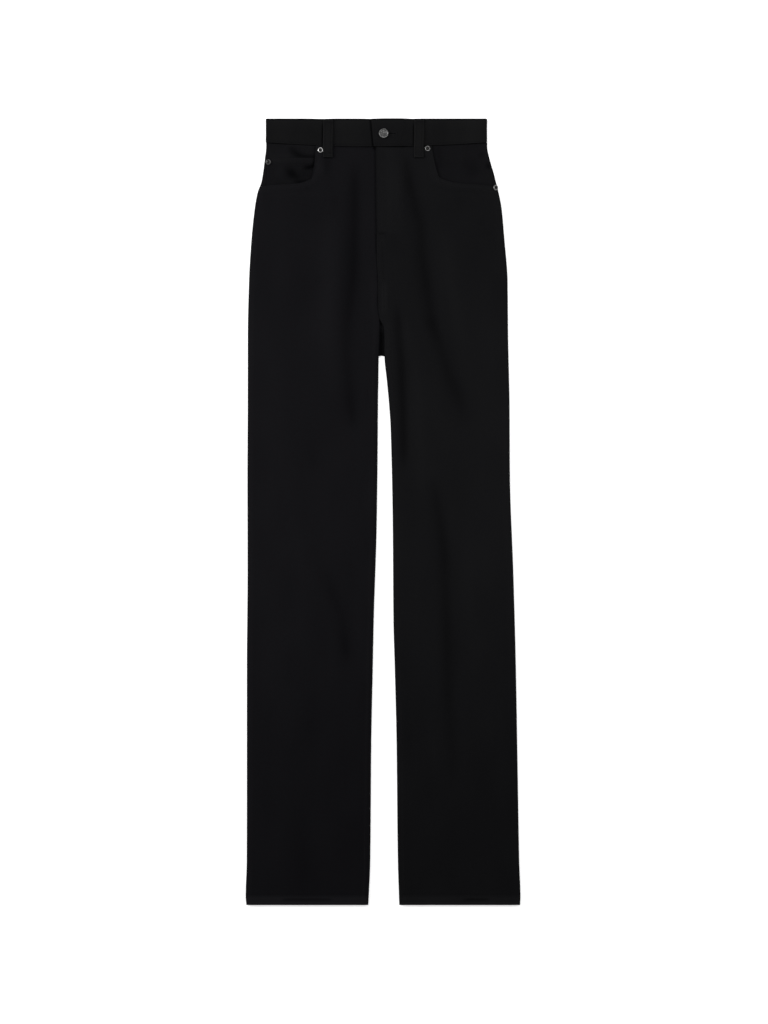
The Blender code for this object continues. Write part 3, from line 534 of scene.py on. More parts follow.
def hem_extra(drop):
    return HEM_EXTRA * smooth((drop - (LENGTH - HEM_DEPTH - 1.5)) / 2.5)


def back_top(across, drop):
    return WALL + back_lift(across, drop) + hem_extra(drop)


def facing_low(across, drop):
    return back_top(across, drop) + FACING_GAP


def crease_height(table, across, drop, narrow=1):
    """Sum of a table's creases, each a soft trough or ridge along its stations."""
    total = filled(across, 0)
    for stations in table:
        line = curve_through(stations, 4)
        reach = 3.2 * line[:, 3].max() * narrow
        near = ((across > line[:, 0].min() - reach) & (across < line[:, 0].max() + reach)
                & (drop > line[:, 1].min() - reach) & (drop < line[:, 1].max() + reach))
        if near.any():
            away, place = to_path(line[:, :2], across[near], drop[near])
            run = run_of(line[:, :2])
            half_width = np.interp(place, run, line[:, 3]) * narrow
            total[near] += np.interp(place, run, line[:, 2]) * hill(away / half_width)
    return total


def front_folds(across, drop):
    """Main folds with a sharper core in each, and the finer creases."""
    across, drop = np.broadcast_arrays(np.asarray(across, float), np.asarray(drop, float))
    folds = crease_height(FOLDS, across, drop) + 0.45 * crease_height(FOLDS, across, drop, 0.5)
    return folds + crease_height(FRONT_CREASES, across, drop)


def ripples(across, drop, seed, size):
    """Small uneven swells of about this size, between -1 and 1, the same each run."""
    rng = np.random.default_rng(seed)
    total = filled(across, 0)
    for _ in range(7):
        turn = rng.uniform(0, math.pi)
        wave = size * rng.uniform(0.7, 1.6)
        phase = rng.uniform(0, TURN)
        run = across * math.cos(turn) + 0.45 * drop * math.sin(turn)
        total += np.sin(run * TURN / wave + phase)
    return total / 4


def spots(piece, across, drop):
    """Sum of a piece's spots of painted highlight and painted shade."""
    return sum(amount * around(across, x, half) * around(drop, d, half_height)
               for amount, x, half, d, half_height in LIGHT_AND_SHADE_SPOTS[piece])


def beneath_front(side, across, drop):
    """Top of what lies under a front: the back, the facing and the coin pocket."""
    cover = in_box(across, drop, side_seam(side, drop) + SIGN[side] * 3,
                   FACING_INNER[side] - SIGN[side] * 3, 0, FACING_LOW_DROP + 3, 26, 75)
    top = back_top(across, drop) + cover * (FACING_GAP + POCKET_WALL)
    if side == "right":
        cover = in_box(across, drop, COIN_OUTER - 3, COIN_INNER + 12, COIN_TOP - 3, COIN_LOW + 7, 18, 70)
        top = top + cover * (COIN_GAP + POCKET_WALL + COIN_CLEARANCE)
    return top


def front_rise(side, across, drop):
    """0 on a front's side seam and inseam, rising to 1 away from them."""
    outer_rise = quarter_round(np.abs(across - side_seam(side, drop)) / 15)
    inner_rise = quarter_round(np.abs(across - front_edge(side, drop)) / 13)
    return outer_rise * mix(1, inner_rise, after(drop, 276, 50))


def front_low(side, across, drop):
    """Lower face of a front, with the solid's folds and the finer creases."""
    shape = read(LOFT, drop) + front_folds(across, drop) + 0.1 * ripples(across, drop, 11, 46)
    height = WALL + SEAM + shape * front_rise(side, across, drop)
    fly = before(drop, 200, 30)
    if side == "right":
        height = mix(height, FLY_UNDER_Z, fly * after(across, -46, 32))
    else:
        height = mix(height, FLY_OVER_Z + 0.4 * before(drop, 60, 18), fly * before(across, 46, 34))
    return larger(height, beneath_front(side, across, drop) + SEAM)


MOUTH_PATHS = {side: curve_through(points) for side, points in MOUTHS.items()}


def stitch_groove(away, row, depth=0.22):
    """Small furrow that a row of sewing pulls into the cloth."""
    return -depth * around(away, row, 0.9)


def pucker(place, away, row, seed):
    """Uneven little gathers beside a row of sewing."""
    beat = np.sin(place * TURN / 7.5 + 0.8 * np.sin(place / 17 + seed))
    return 0.13 * beat * around(away, row, 4)


def front_wall(side, across, drop):
    """Thickness of a front: doubled at the mouth, the seams and the hem, furrowed by the sewing."""
    away, place = to_path(MOUTH_PATHS[side], across, drop)
    wall = WALL + 0.42 * before(away, 12.5, 2.5) * smooth(away / 1.2)
    for row in TWIN_ROWS:
        wall += stitch_groove(away, row) + pucker(place, away, row, 1)

    # Doubled edges at the centre, thickest on the left front, which is folded there
    edge_away = np.abs(across - front_edge(side, drop))
    below = after(drop, 172, 8) * before(drop, CENTRE_LOW + 4, 14)
    wall += below * (0.55 if side == "left" else 0.2) * before(edge_away, 9.5, 2)
    if side == "left":
        fly = before(drop, 175, 12)
        wall += fly * 0.5 * before(edge_away, 14, 4) * smooth(edge_away)
        wall += fly * stitch_groove(edge_away, TWIN_ROWS[0], 0.16)
        for row in TWIN_ROWS:
            wall += below * (stitch_groove(edge_away, row) + pucker(drop, edge_away, row, 2))

    # Felled inseams
    legs = after(drop, CENTRE_LOW + 6, 20)
    wall += legs * 0.4 * before(edge_away, 9.5, 2.5) * smooth(edge_away / 1.5)
    for row in TWIN_ROWS:
        wall += legs * (stitch_groove(edge_away, row, 0.16) + 0.8 * pucker(drop, edge_away, row, 3))

    # Side seam, pressed open underneath
    side_away = np.abs(across - side_seam(side, drop))
    wall += 0.28 * before(side_away, 11, 3) * smooth(side_away / 2) * after(drop, 96, 8)

    # Turned hem, with the roping that its sewing pulls into it
    up = LENGTH - drop
    wall += hem_extra(drop) + stitch_groove(up, HEM_DEPTH - 2.5)
    roping = np.sin((across - 0.55 * SIGN[side] * up) * TURN / 9 + np.sin(across / 13))
    wall += 0.12 * roping * before(up, HEM_DEPTH, 3) * smooth(up / 2)

    # Below the waistband the cloth is gathered a little into the seam
    gathers = np.sin(across * TURN / 11 + np.sin(across / 9))
    return wall + 0.1 * gathers * hill((drop - band_drop(across)) / 6)


def front_tone(side, across, drop):
    """Tone of a front, from below 0 to 1: painted shade in the creases and painted highlights on the ridges,
    seams and edges, with random mottle and lighter thighs.
    """
    strength = mix(0.46, 0.38, after(drop, 560, 160))
    tone = strength * front_folds(across, drop) + 0.1 * ripples(across, drop, 5, 60)
    edge_away = np.abs(across - front_edge(side, drop))
    side_away = np.abs(across - side_seam(side, drop))
    # Painted highlights along the seams' raised edges, none in the join itself
    tone += 0.2 * around(edge_away, 7, 3) * after(drop, 200, 60) + 0.2 * around(side_away, 5, 4)
    # Painted shadow that the left front's edge casts on the right front, along the fly and in places along
    # the centre seam; on the left front, painted shade along its own fly edge, a painted highlight on the
    # centre seam's raised felled edge and a lighter band over the fly
    if side == "right":
        painted_shade = 0.62 * before(drop, 176, 10) + 0.6 * after(drop, 168, 8) * before(drop, 198, 8)
        painted_shade += 0.6 * around(drop, 226, 5) + 0.8 * around(drop, 262, 10)
        tone -= painted_shade * hill((across - front_edge("left", drop) + 0.9) / 1.6)
    else:
        tone -= before(drop, 168, 8) * hill(edge_away / 1.5)
        tone += 1.3 * around(across, 1.4, 2.6) * after(drop, 230, 12) * before(drop, 282, 14)
        tone += 0.35 * around(across, 8, 14) * before(drop, 170, 10)
    # Painted highlight beside the pocket mouth's turned edge and painted shade right at the edge; on the
    # left front, painted light along the mouth's upright edge, against its shadow
    mouth_away = to_path(MOUTH_PATHS[side], across, drop)[0]
    tone += 0.3 * around(mouth_away, 4, 4) - 0.35 * hill(mouth_away / 0.9)
    if side == "left":
        tone += 0.6 * before(drop, MOUTH_TURN, 12) * hill(mouth_away / 1.2)
    # Spots of painted highlight and painted shade
    tone += spots(f"front_{side}", across, drop)
    # Painted shade in the join below the waistband
    waist = drop - band_drop(across)
    tone -= 1.4 * hill(waist / 1.8) * (0.25 + 0.75 * waist_shade(across))
    # The turned hem is lighter, with a light line along its fold; painted shade lies along its top edge and,
    # where it falls away, across its middle
    up = LENGTH - drop
    tone += (1.15 if side == "right" else 0.68) * before(up, HEM_DEPTH - 2, 3) + 0.7 * around(up, 0.8, 2)
    tone -= 0.35 * around(up, HEM_DEPTH, 1.4) + 1.3 * around(up, 8, 1.6) * hem_shade(across)
    # The thighs and knees are a little lighter, most of all at their outer sides
    thighs_and_knees = after(drop, 240, 70) * before(drop, 690, 90)
    outer = before(side_away, 82, 46) * after(drop, 110, 40)
    tone += 0.12 * thighs_and_knees + (0.16 if side == "right" else 0.16 * thighs_and_knees) * outer
    # The legs darken towards the hems
    return np.clip(tone - 0.62 * after(drop, 620, 480) + 0.12, DARKEST, 1.2)


def hem_shade(across):
    """Where the turned hems fall away into shade, 0 to 1 along them."""
    right = after(across, -146, 8) * before(across, -70, 8)
    return np.maximum(right, after(across, 112, 8) * before(across, 154, 8))


def waist_shade(across):
    """Where the painted shade in the join below the waistband is darkest, 0 to 1 along it."""
    right = after(across, -74, 14) * before(across, -14, 6)
    middle = after(across, -14, 30) * before(across, 44, 3)
    left = 0.8 * after(across, 80, 8) * before(across, 122, 14)
    return np.maximum(np.maximum(right, middle), left)


def edge_steps(length, step):
    """Places across a length, close together at both ends so that an edge can be rounded."""
    count = max(2, int(round((length - 2 * EDGE_STEPS[-1]) / step)))
    middle = np.linspace(EDGE_STEPS[-1], length - EDGE_STEPS[-1], count + 1)
    return np.concatenate([EDGE_STEPS[:-1], middle, length - EDGE_STEPS[-2::-1]])


def edge_drop(count, rounding):
    """How far each of a row of points sinks towards the middle of the wall, at both its ends."""
    sink = np.zeros(count)
    for k, part in enumerate((1, 0.42, 0.1)):
        sink[k] = sink[-1 - k] = rounding * part
    return sink


def new_mesh(name, points, faces, tone=None):
    """Object from its points, each an (across, drop, height) in millimetres, and its faces."""
    points = np.asarray(points, float)
    placed = np.stack([points[:, 0], LENGTH / 2 - points[:, 1], points[:, 2]], 1) * MM
    mesh = bpy.data.meshes.new(name)
    mesh.from_pydata(placed.tolist(), [], faces)
    mesh.update()
    if tone is not None:
        layer = mesh.attributes.new("tone", "FLOAT", "POINT")
        layer.data.foreach_set("value", np.asarray(tone, np.float32))
    mesh.shade_smooth()
    obj = bpy.data.objects.new(name, mesh)
    bpy.context.scene.collection.objects.link(obj)
    return obj


def dress(obj, finish, slot_name, *nodes):
    """Gives a piece its finish and its body, and hides the solids that it stands for."""
    obj.data.materials.clear()
    obj.data.materials.append(finish)
    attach(obj, BODY)
    if nodes:
        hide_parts(*nodes)
    return obj


def border_of(grid):
    return np.concatenate([grid[0, :], grid[1:, -1], grid[-1, -2::-1], grid[-2:0:-1, 0]])


def cloth(name, across, drop, low, top, tone, rounding):
    """Closed sheet from grids of places and heights, with its edges rounded off."""
    rows, columns = across.shape
    sink = np.maximum(edge_drop(rows, rounding)[:, None], edge_drop(columns, rounding)[None, :])
    faces_of = [np.stack([across, drop, height], 2).reshape(-1, 3) for height in (top - sink, low + sink)]
    grid = np.arange(rows * columns).reshape(rows, columns)
    quads = np.stack([grid[:-1, :-1], grid[:-1, 1:], grid[1:, 1:], grid[1:, :-1]], 2).reshape(-1, 4)
    border, under = border_of(grid), rows * columns
    following = np.roll(border, -1)
    walls = np.stack([border, border + under, following + under, following], 1)
    # Outward faces depend on which way the rows run
    if (across[0, -1] - across[0, 0]) * (drop[-1, 0] - drop[0, 0]) > 0:
        quads, walls = quads[:, ::-1], walls[:, ::-1]
    faces = np.vstack([quads, quads[:, ::-1] + under, walls])
    return new_mesh(name, np.vstack(faces_of), faces.tolist(), np.tile(tone.ravel(), 2))


def make_sheet(node, finish, slot_name, grid, low, top, tone, rounding, rests_on):
    """Cloth piece that stands for a solid, from its grid of places and the heights of its faces."""
    across, drop = grid
    obj = cloth(node + "_cloth", across, drop, low, top, tone, rounding)
    dress(obj, finish, slot_name, node)


def front_grid(side):
    """Places of a front: rows that follow its mouth and waist seam at the top, then level ones."""
    places = edge_steps(GRID_WIDTH, 3.2)
    if side == "right":
        # Closer columns under the fly's edge, which lies in deep shade
        places = np.concatenate([places[places < GRID_WIDTH - 19], GRID_WIDTH - np.arange(18.5, 10, -0.9),
                                 places[places > GRID_WIDTH - 9]])
    shares = places / GRID_WIDTH
    shares = np.sort(np.append(shares[np.abs(shares - MOUTH_SHARE) > 0.004], MOUTH_SHARE))
    on_mouth = shares <= MOUTH_SHARE
    top_row = along(MOUTH_PATHS[side], shares[on_mouth] / MOUTH_SHARE)
    rest = (shares[~on_mouth] - MOUTH_SHARE) / (1 - MOUTH_SHARE)
    waist = mix(top_row[-1, 0], front_edge(side, BAND_CENTRE_DROP), rest)
    top_row = np.vstack([top_row, path_of(waist, band_drop(waist) + SEAM)])
    outer, inner = side_seam(side, MOUTH_LEVEL), front_edge(side, MOUTH_LEVEL)
    across, drop = [], []
    for s in np.concatenate([EDGE_STEPS, np.arange(12.5, 40, 1.9)]) / 41:
        side_drop = mix(top_row[0, 1], MOUTH_LEVEL, s)
        centre_drop = mix(top_row[-1, 1], MOUTH_LEVEL, s)
        side_off = side_seam(side, side_drop) - mix(top_row[0, 0], outer, s)
        centre_off = front_edge(side, centre_drop) - mix(top_row[-1, 0], inner, s)
        off = mix(side_off, centre_off, shares) if s > 0 else 0
        across.append(mix(top_row[:, 0], mix(outer, inner, shares), s) + off)
        drop.append(mix(top_row[:, 1], MOUTH_LEVEL, s))
    steps = edge_steps(2 * (LENGTH - MOUTH_LEVEL), 4)
    levels = MOUTH_LEVEL + (steps[steps >= LENGTH - MOUTH_LEVEL] - (LENGTH - MOUTH_LEVEL))
    # Closer rows where the right front's edge comes out from under the fly
    foot = (levels > 138) & (levels < 170)
    for level in np.sort(np.concatenate([levels[~foot], np.arange(138, 170)])):
        across.append(mix(side_seam(side, level), front_edge(side, level), shares))
        drop.append(filled(shares, level))
    return np.array(across), np.array(drop)


def front_height(side, across, drop):
    """Top face of a front."""
    return front_low(side, across, drop) + front_wall(side, across, drop)


def make_front(side, finish):
    grid = front_grid(side)
    low = front_low(side, *grid)
    make_sheet(f"front_{side}", finish, "black_denim", grid, low, low + front_wall(side, *grid),
               front_tone(side, *grid), 0.42, [f"back_{side}", f"pocket_facing_{side}"])


def level_grid(outer, inner, top, low, step_across, step_drop):
    """Grid between two side curves and two end curves, given as functions of a drop or a place."""
    width = abs(float(inner(WIDTH_DROP)) - float(outer(WIDTH_DROP)))
    shares = edge_steps(width, step_across) / width
    middle = (float(outer(MIDDLE_DROP)) + float(inner(MIDDLE_DROP))) / 2
    height = float(low(middle)) - float(top(middle))
    across, drop = [], []
    for s in edge_steps(height, step_drop) / height:
        level = mix(float(top(middle)), float(low(middle)), s)
        for _ in range(3):
            row = mix(outer(level), inner(level), shares)
            level = mix(top(row), low(row), s)
        across.append(row)
        drop.append(level)
    return np.array(across), np.array(drop)


def underside(across, drop):
    """Outer face of the backs, on its sewing, with shallow hollows off the surface."""
    hollow = crease_height(BACK_CREASES, across, drop) + 0.12 * (1 + ripples(across, drop, 23, 52))
    return SEWING_CLEARANCE + np.maximum(hollow, 0)


def recess(across, drop, outline):
    """How high a face is pressed up round a flat piece with this outline."""
    border = filled(across, 1e9)
    middle = np.mean(outline, axis=0)
    for (x0, d0), (x1, d1) in zip(outline, np.roll(outline, -1, axis=0)):
        run_x, run_d = x1 - x0, d1 - d0
        turn = run_x * (middle[1] - d0) - run_d * (middle[0] - x0)
        off = (run_x * (drop - d0) - run_d * (across - x0)) / math.hypot(run_x, run_d)
        border = np.minimum(border, off * math.copysign(1, turn))
    return (RECESS_DEPTH + 0.1) * smooth((border + 2.6) / 2.2)


def back_pocket_outline(middle):
    top, side = BACK_POCKET_TOP, BACK_POCKET_TOP + BACK_POCKET_SIDE
    return np.array([
        (middle - BACK_POCKET_TOP_HALF, top), (middle + BACK_POCKET_TOP_HALF, top),
        (middle + BACK_POCKET_LOW_HALF, side), (middle, top + BACK_POCKET_POINT),
        (middle - BACK_POCKET_LOW_HALF, side)])


def loop_outline(middle):
    left, right = middle - LOOP_WIDTH / 2, middle + LOOP_WIDTH / 2
    return np.array([(left, -4), (right, -4), (right, BACK_LOOP_END), (left, BACK_LOOP_END)])


def back_low(across, drop):
    """Outer face of a back or yoke, pressed up where a pocket or a belt loop lies on it."""
    outlines = [back_pocket_outline(middle) for middle in BACK_POCKETS.values()]
    outlines += [loop_outline(middle) for middle in BACK_LOOPS.values()]
    low = underside(across, drop)
    for outline in outlines:
        low = np.maximum(low, recess(across, drop, outline))
    return low


def back_tone(side, across, drop):
    # Painted shade in the hollows where the underside lifts off the surface, and lighter along the seams
    tone = -0.8 * crease_height(BACK_CREASES, across, drop) + 0.25 * ripples(across, drop, 9, 55)
    tone += 0.4 * around(np.abs(across - back_edge(side, drop)), 5, 4)
    tone += 0.3 * around(np.abs(across - side_seam(side, drop)), 4, 4)
    # At the crotch the backs show in the parting of the fronts, in deep shade
    tone -= 1.8 * after(drop, 296, 12) * before(drop, 352, 8) * around(across, -2.1, 6)
    seat = around(drop, 300, 90) * around(np.abs(across - BAND_MIDDLE), 75, 60)
    return np.clip(tone + 0.35 * seat - 0.3 * after(drop, 500, 500), DARKEST, 1.2)


def back_faces(across, drop):
    """Outer and inner face of a back or yoke."""
    low = back_low(across, drop)
    return low, np.maximum(back_top(across, drop), low + LEAST_BACK_WALL)


def make_back(side, finish):
    shares = edge_steps(BACK_GRID_WIDTH, 3.6) / BACK_GRID_WIDTH
    levels = YOKE_CENTRE_DROP + edge_steps(LENGTH - YOKE_CENTRE_DROP, 4.6)
    across, drop = [], []
    for level in np.sort(np.append(levels, [CROTCH - 0.6, CROTCH + 0.6])):
        share = np.clip(1 - (level - YOKE_CENTRE_DROP) / 60, 0, 1)
        row = mix(side_seam(side, level), back_edge(side, level), shares)
        for _ in range(2):
            row_drop = level + (yoke_drop(row) + SEAM - YOKE_CENTRE_DROP) * share
            row = mix(side_seam(side, row_drop), back_edge(side, row_drop), shares)
        across.append(row)
        drop.append(np.minimum(row_drop, LENGTH))
    across, drop = np.array(across), np.array(drop)
    low, top = back_faces(across, drop)
    # The edges turn up towards the fronts
    lift = 0.5 * hill(np.abs(across - side_seam(side, drop)) / 2.2)
    lift += 0.4 * hill(np.abs(across - back_edge(side, drop)) / 1.8) * after(drop, CROTCH, 10)
    make_sheet(f"back_{side}", finish, "black_denim", (across, drop), np.minimum(low + lift, top - 0.6), top,
               back_tone(side, across, drop), 0.25, ["floor"])


def make_yoke(side, finish):
    # Up to the waistband, so that no light comes through the seam
    grid = level_grid(partial(side_seam, side), partial(back_edge, side), lambda x: band_drop(x) - 0.12,
                      yoke_drop, 3.6, 3)
    across, drop = grid
    tone = back_tone(side, across, drop) + 0.4 * around(yoke_drop(across) - drop, 5, 4)
    make_sheet(f"yoke_{side}", finish, "black_denim", grid, *back_faces(across, drop), tone, 0.25, ["floor"])


def make_facing(side, finish):
    across, drop = level_grid(partial(side_seam, side), lambda d: filled(d, FACING_INNER[side]),
                              lambda x: band_drop(x) + SEAM, lambda x: filled(x, FACING_LOW_DROP), 2.6, 2.4)
    falls = crease_height(FACING_CREASES, across, drop)
    top = facing_low(across, drop) + POCKET_WALL + falls
    mouth_away = to_path(MOUTH_PATHS[side], across, drop)[0]
    join = hill((drop - band_drop(across)) / 1.8) * (waist_shade(across) - 0.45)
    # Painted shade under the front's mouth edge and in the falls of the cloth; along the join below the
    # waistband, painted shade where waist_shade is high and painted light elsewhere
    tone = 0.12 - 0.3 * hill(mouth_away / 2.2) - 1.4 * join + 2.6 * falls
    tone += 0.1 * ripples(across, drop, 31, 40)
    # On the right, a painted highlight spot; on the left, painted light along the mouth's upright edge,
    # against its shadow
    if side == "right":
        tone += spots("pocket_facing_right", across, drop)
    else:
        tone += 0.7 * before(drop, MOUTH_TURN, 12) * hill(mouth_away / 2)
    make_sheet(f"pocket_facing_{side}", finish, "pocket_denim", (across, drop), top - POCKET_WALL, top,
               np.clip(tone, DARKEST, 1), 0.3, [f"yoke_{side}", f"back_{side}"])


def coin_height(across, drop):
    """Upper face of the coin pocket, turned and sewn twice along its top."""
    down = drop - COIN_TOP
    wall = POCKET_WALL + 0.35 * before(down, 11, 2) * smooth(down)
    for row in TWIN_ROWS:
        wall += stitch_groove(down, row, 0.15)
    low = facing_low(across, drop) + POCKET_WALL + COIN_GAP
    return low + wall + crease_height(COIN_CREASES, across, drop)


def make_coin_pocket(finish):
    across, drop = np.meshgrid(COIN_OUTER + edge_steps(COIN_INNER - COIN_OUTER, 2.6),
                               COIN_TOP + edge_steps(COIN_LOW - COIN_TOP, 2.4))
    # The corner at the rivet is pulled down a little
    drop = drop + 0.8 * around(across, COIN_OUTER, 14) * around(drop, COIN_TOP, 10)
    top = coin_height(across, drop)
    mouth_away = to_path(MOUTH_PATHS["right"], across, drop)[0]
    # Painted shade under the front's mouth edge and in the creases, a painted highlight along the top edge,
    # and spots of painted highlight and painted shade
    tone = -0.1 - 0.25 * hill(mouth_away / 2) + 0.25 * around(drop, COIN_TOP + 3, 3)
    tone += 2.5 * crease_height(COIN_CREASES, across, drop) + 0.1 * ripples(across, drop, 37, 36)
    tone += spots("coin_pocket", across, drop)
    make_sheet("coin_pocket", finish, "black_denim", (across, drop), top - POCKET_WALL, top,
               np.clip(tone, DARKEST, 1), 0.35, ["pocket_facing_right"])


def make_back_pocket(side, finish):
    """Patch with a pointed foot, its edges turned in and its mouth hemmed."""
    middle, width = BACK_POCKETS[side], 2 * BACK_POCKET_TOP_HALF
    shares = edge_steps(width, 3) / width
    depths = edge_steps(BACK_POCKET_POINT, 3)[:, None] / BACK_POCKET_POINT
    half = mix(BACK_POCKET_TOP_HALF, BACK_POCKET_LOW_HALF, depths)
    across = middle + mix(-half, half, shares)
    down = depths * mix(BACK_POCKET_SIDE, BACK_POCKET_POINT, 1 - np.abs(2 * shares - 1))
    drop = BACK_POCKET_TOP + down
    edge = np.abs(np.abs(across - middle) - BACK_POCKET_TOP_HALF)
    low = SEWING_CLEARANCE + 0.18 * (1 - before(np.minimum(down, edge + 3), 13, 3))
    low += 0.08 * (1 + ripples(across, drop, 41, 40))
    tone = 0.15 + 0.3 * around(down, 3, 4) + 0.25 * ripples(across, drop, 43, 40)
    make_sheet(f"back_pocket_{side}", finish, "black_denim", (across, drop), low, RECESS_DEPTH - 0.05, tone,
               0.2, [f"back_{side}"])


def closer(places, middles):
    """The places with closer ones about each of these middles."""
    extra = [middle + step for middle in middles for step in (-2, -1.2, -0.6, 0, 0.6, 1.2, 2)]
    return np.unique(np.round(np.concatenate([places, extra]), 2))


def band_middle_z(across, over):
    """Height of the middle of the waistband's front wall, on the over end's side or the under end's."""
    if over:
        return mix(OVER_END_Z, BAND_FRONT_Z, after(across, OVER_STEP, OVER_STEP_WIDTH))
    return mix(BAND_FRONT_Z, UNDER_END_Z, after(across, UNDER_STEP, UNDER_STEP_WIDTH))


def band_line():
    """The waistband's middle line, all round from the over end to the under end, as (across, z)."""
    fold_z = (BAND_FRONT_Z + BAND_WALL / 2) / 2
    radius = BAND_FRONT_Z - fold_z
    inset = BAND_WALL / 2 + radius
    left, right = BAND_LEFT - inset, BAND_RIGHT + inset
    beside_loops = {side: [middle - LOOP_SHADE, middle + LOOP_SHADE] for side, middle in FRONT_LOOPS.items()}
    over = closer(np.linspace(25.9, left, 42), beside_loops["left"])
    under = closer(np.linspace(right, UNDER_END - EDGE_STEPS[-1], 60), beside_loops["right"] + [OVER_LINE])
    turns = np.radians(np.linspace(75, -75, 11))
    return np.vstack([
        path_of(OVER_END + edge_steps(OVER_STEP - OVER_END, 2.6), OVER_END_Z),
        path_of(over, band_middle_z(over, True)),
        path_of(left + radius * np.cos(turns), fold_z + radius * np.sin(turns)),
        path_of(np.linspace(left, right, 104), BAND_WALL / 2),
        path_of(right - radius * np.cos(turns), fold_z - radius * np.sin(turns)),
        path_of(under, band_middle_z(under, False)),
        path_of(UNDER_END - EDGE_STEPS[-2::-1], UNDER_END_Z)])


def band_shade(across, height, run, drop, foot):
    """Painted shade on the waistband's front beside the belt loops' left edges and on the under part beside
    the over end's edge, and painted light beside the loops' right edges, against their shadow.
    """
    low = after(drop, 4, 8)
    shade = filled(drop, 0)
    for middle in FRONT_LOOPS.values():
        shade += 1.6 * around(across, middle - LOOP_SHADE, 1.2) * low
        shade -= 0.7 * around(across, middle + LOOP_SHADE, 1.4) * low
    overlap = 1.7 * around(across, OVER_LINE + OVER_SLANT * (drop / foot - 0.5), 1.15)
    return np.where(height < 3, 0, shade + np.where(run > 60, overlap, 0))


def band_points():
    """The waistband's points, a ring of them at each place of its middle line, and their tones."""
    line = band_line()
    steps = np.gradient(line, axis=0)
    steps /= np.hypot(*steps.T)[:, None]
    x, z, run = line[:, :1], line[:, 1:], run_of(line)[:, None]
    edges = np.array([0, 0.25, 0.7, 1.3, 2, 2.8, 3.8, 5])
    outline = np.concatenate([edges, np.linspace(7, 33, 12), BAND_CENTRE_DROP - edges[::-1]])
    outline = outline / BAND_CENTRE_DROP
    away = np.minimum(outline, 1 - outline) * BAND_CENTRE_DROP
    half = BAND_WALL / 2 * quarter_round((away + 0.35) / 1.5)
    half -= 0.22 * around(away, 2.2, 0.9) + 0.12 * after(away, 5, 8)
    end_away = np.minimum(run, run[-1] - run)
    foot = band_drop(x)
    # The top edge dips a little beside the belt loops and the overlap
    dip = 0.55 * around(x, -88, 12) + 0.5 * around(x, -14, 9) + 0.3 * around(x, 42, 9)
    drops = outline * foot
    drops += (0.25 + dip) * hill(drops / 9)
    gather = 0.1 * np.sin(run * TURN / 8.5 + np.sin(run / 23)) * around(away, 3.5, 3)
    swell = 0.16 * np.sin(run / 31) * np.sin(outline * math.pi) * (z > 3)
    slant = OVER_SLANT * (drops / foot - 0.5) * around(x, OVER_END, 12) * (run < 40)
    # Lighter along both folded edges and on the upper half, painted shade in the sewing's furrow, two
    # lighter patches along the band, and the painted shade and light of band_shade
    tone = 0.45 * hill(away / 1.1) - 0.3 * around(away, 2.2, 0.9) + 0.35 * before(drops, 22, 22)
    tone += 0.18 * around(x, -44, 22) + 0.4 * around(x, 128, 52) - band_shade(x, z, run, drops, foot)
    points, tones = [], []
    # The lower face gets painted shade near both ends, where they lie over or under other cloth
    for out, order, extra, dark in ((1, 1, gather, 0), (-1, -1, 0, 0.8)):
        reach = np.maximum(out * half * quarter_round(end_away + 0.25) + extra, -BAND_WALL / 2)
        height = np.maximum(z + steps[:, :1] * reach + swell, np.where(z < 2, SEWING_CLEARANCE, 0))
        points.append(np.stack([x - steps[:, 1:] * reach + slant, drops, height], 2)[:, ::order])
        tones.append((tone - dark * hill(end_away / 1.2))[:, ::order])
    return np.concatenate(points, 1), np.concatenate(tones, 1)


def make_waistband(finish):
    points, tones = band_points()
    rings, ring = tones.shape
    index = np.arange(rings * ring).reshape(rings, ring)
    following = np.roll(index, -1, axis=1)
    walls = np.stack([index[:-1], index[1:], following[1:], following[:-1]], 2).reshape(-1, 4)
    m = np.arange(ring // 2 - 1)
    cap = np.stack([m, m + 1, ring - 2 - m, ring - 1 - m], 1)
    faces = np.vstack([walls, index[0][cap], index[-1][cap[:, ::-1]]])
    points = points.reshape(-1, 3)
    press = np.max([recess(points[:, 0], points[:, 1], loop_outline(middle))
                    for middle in BACK_LOOPS.values()], axis=0)
    outer = points[:, 2] < 1
    points[outer, 2] = np.maximum(points[:, 2], press)[outer]
    obj = new_mesh("waistband_cloth", points, faces.tolist(), tones.ravel())
    cut_buttonhole(obj)
    dress(obj, finish, "waistband_denim", "waistband")


def cut_buttonhole(obj):
    """Cuts the keyhole slit through the waistband's over end only."""
    low, high = UNDER_END_Z + BAND_WALL / 2 + 0.15, 9.5
    half, eye = BUTTONHOLE_WIDTH / 2, SHANK_RADIUS + 0.45
    start = math.asin(half / eye)
    turns = np.linspace(start, TURN - start, 20)
    end = BUTTON_ACROSS + BUTTONHOLE_LENGTH
    outline = path_of(BUTTON_ACROSS + eye * np.cos(turns), BUTTON_DROP + eye * np.sin(turns))
    outline = np.vstack([outline, (end, BUTTON_DROP - half), (end, BUTTON_DROP + half)])
    count = len(outline)
    points = [(x, d, z) for z in (low, high) for x, d in outline]
    faces = [tuple(range(count)), tuple(range(2 * count - 1, count - 1, -1))]
    faces += [(k, k + count, (k + 1) % count + count, (k + 1) % count) for k in range(count)]
    cutter = new_mesh("buttonhole_cutter", points, faces)
    modifier = obj.modifiers.new("buttonhole", "BOOLEAN")
    modifier.operation = "DIFFERENCE"
    modifier.solver = "EXACT"
    modifier.object = cutter
    graph = bpy.context.evaluated_depsgraph_get()
    cut = bpy.data.meshes.new_from_object(obj.evaluated_get(graph))
    obj.modifiers.clear()
    obj.data = cut
    bpy.data.objects.remove(cutter, do_unlink=True)


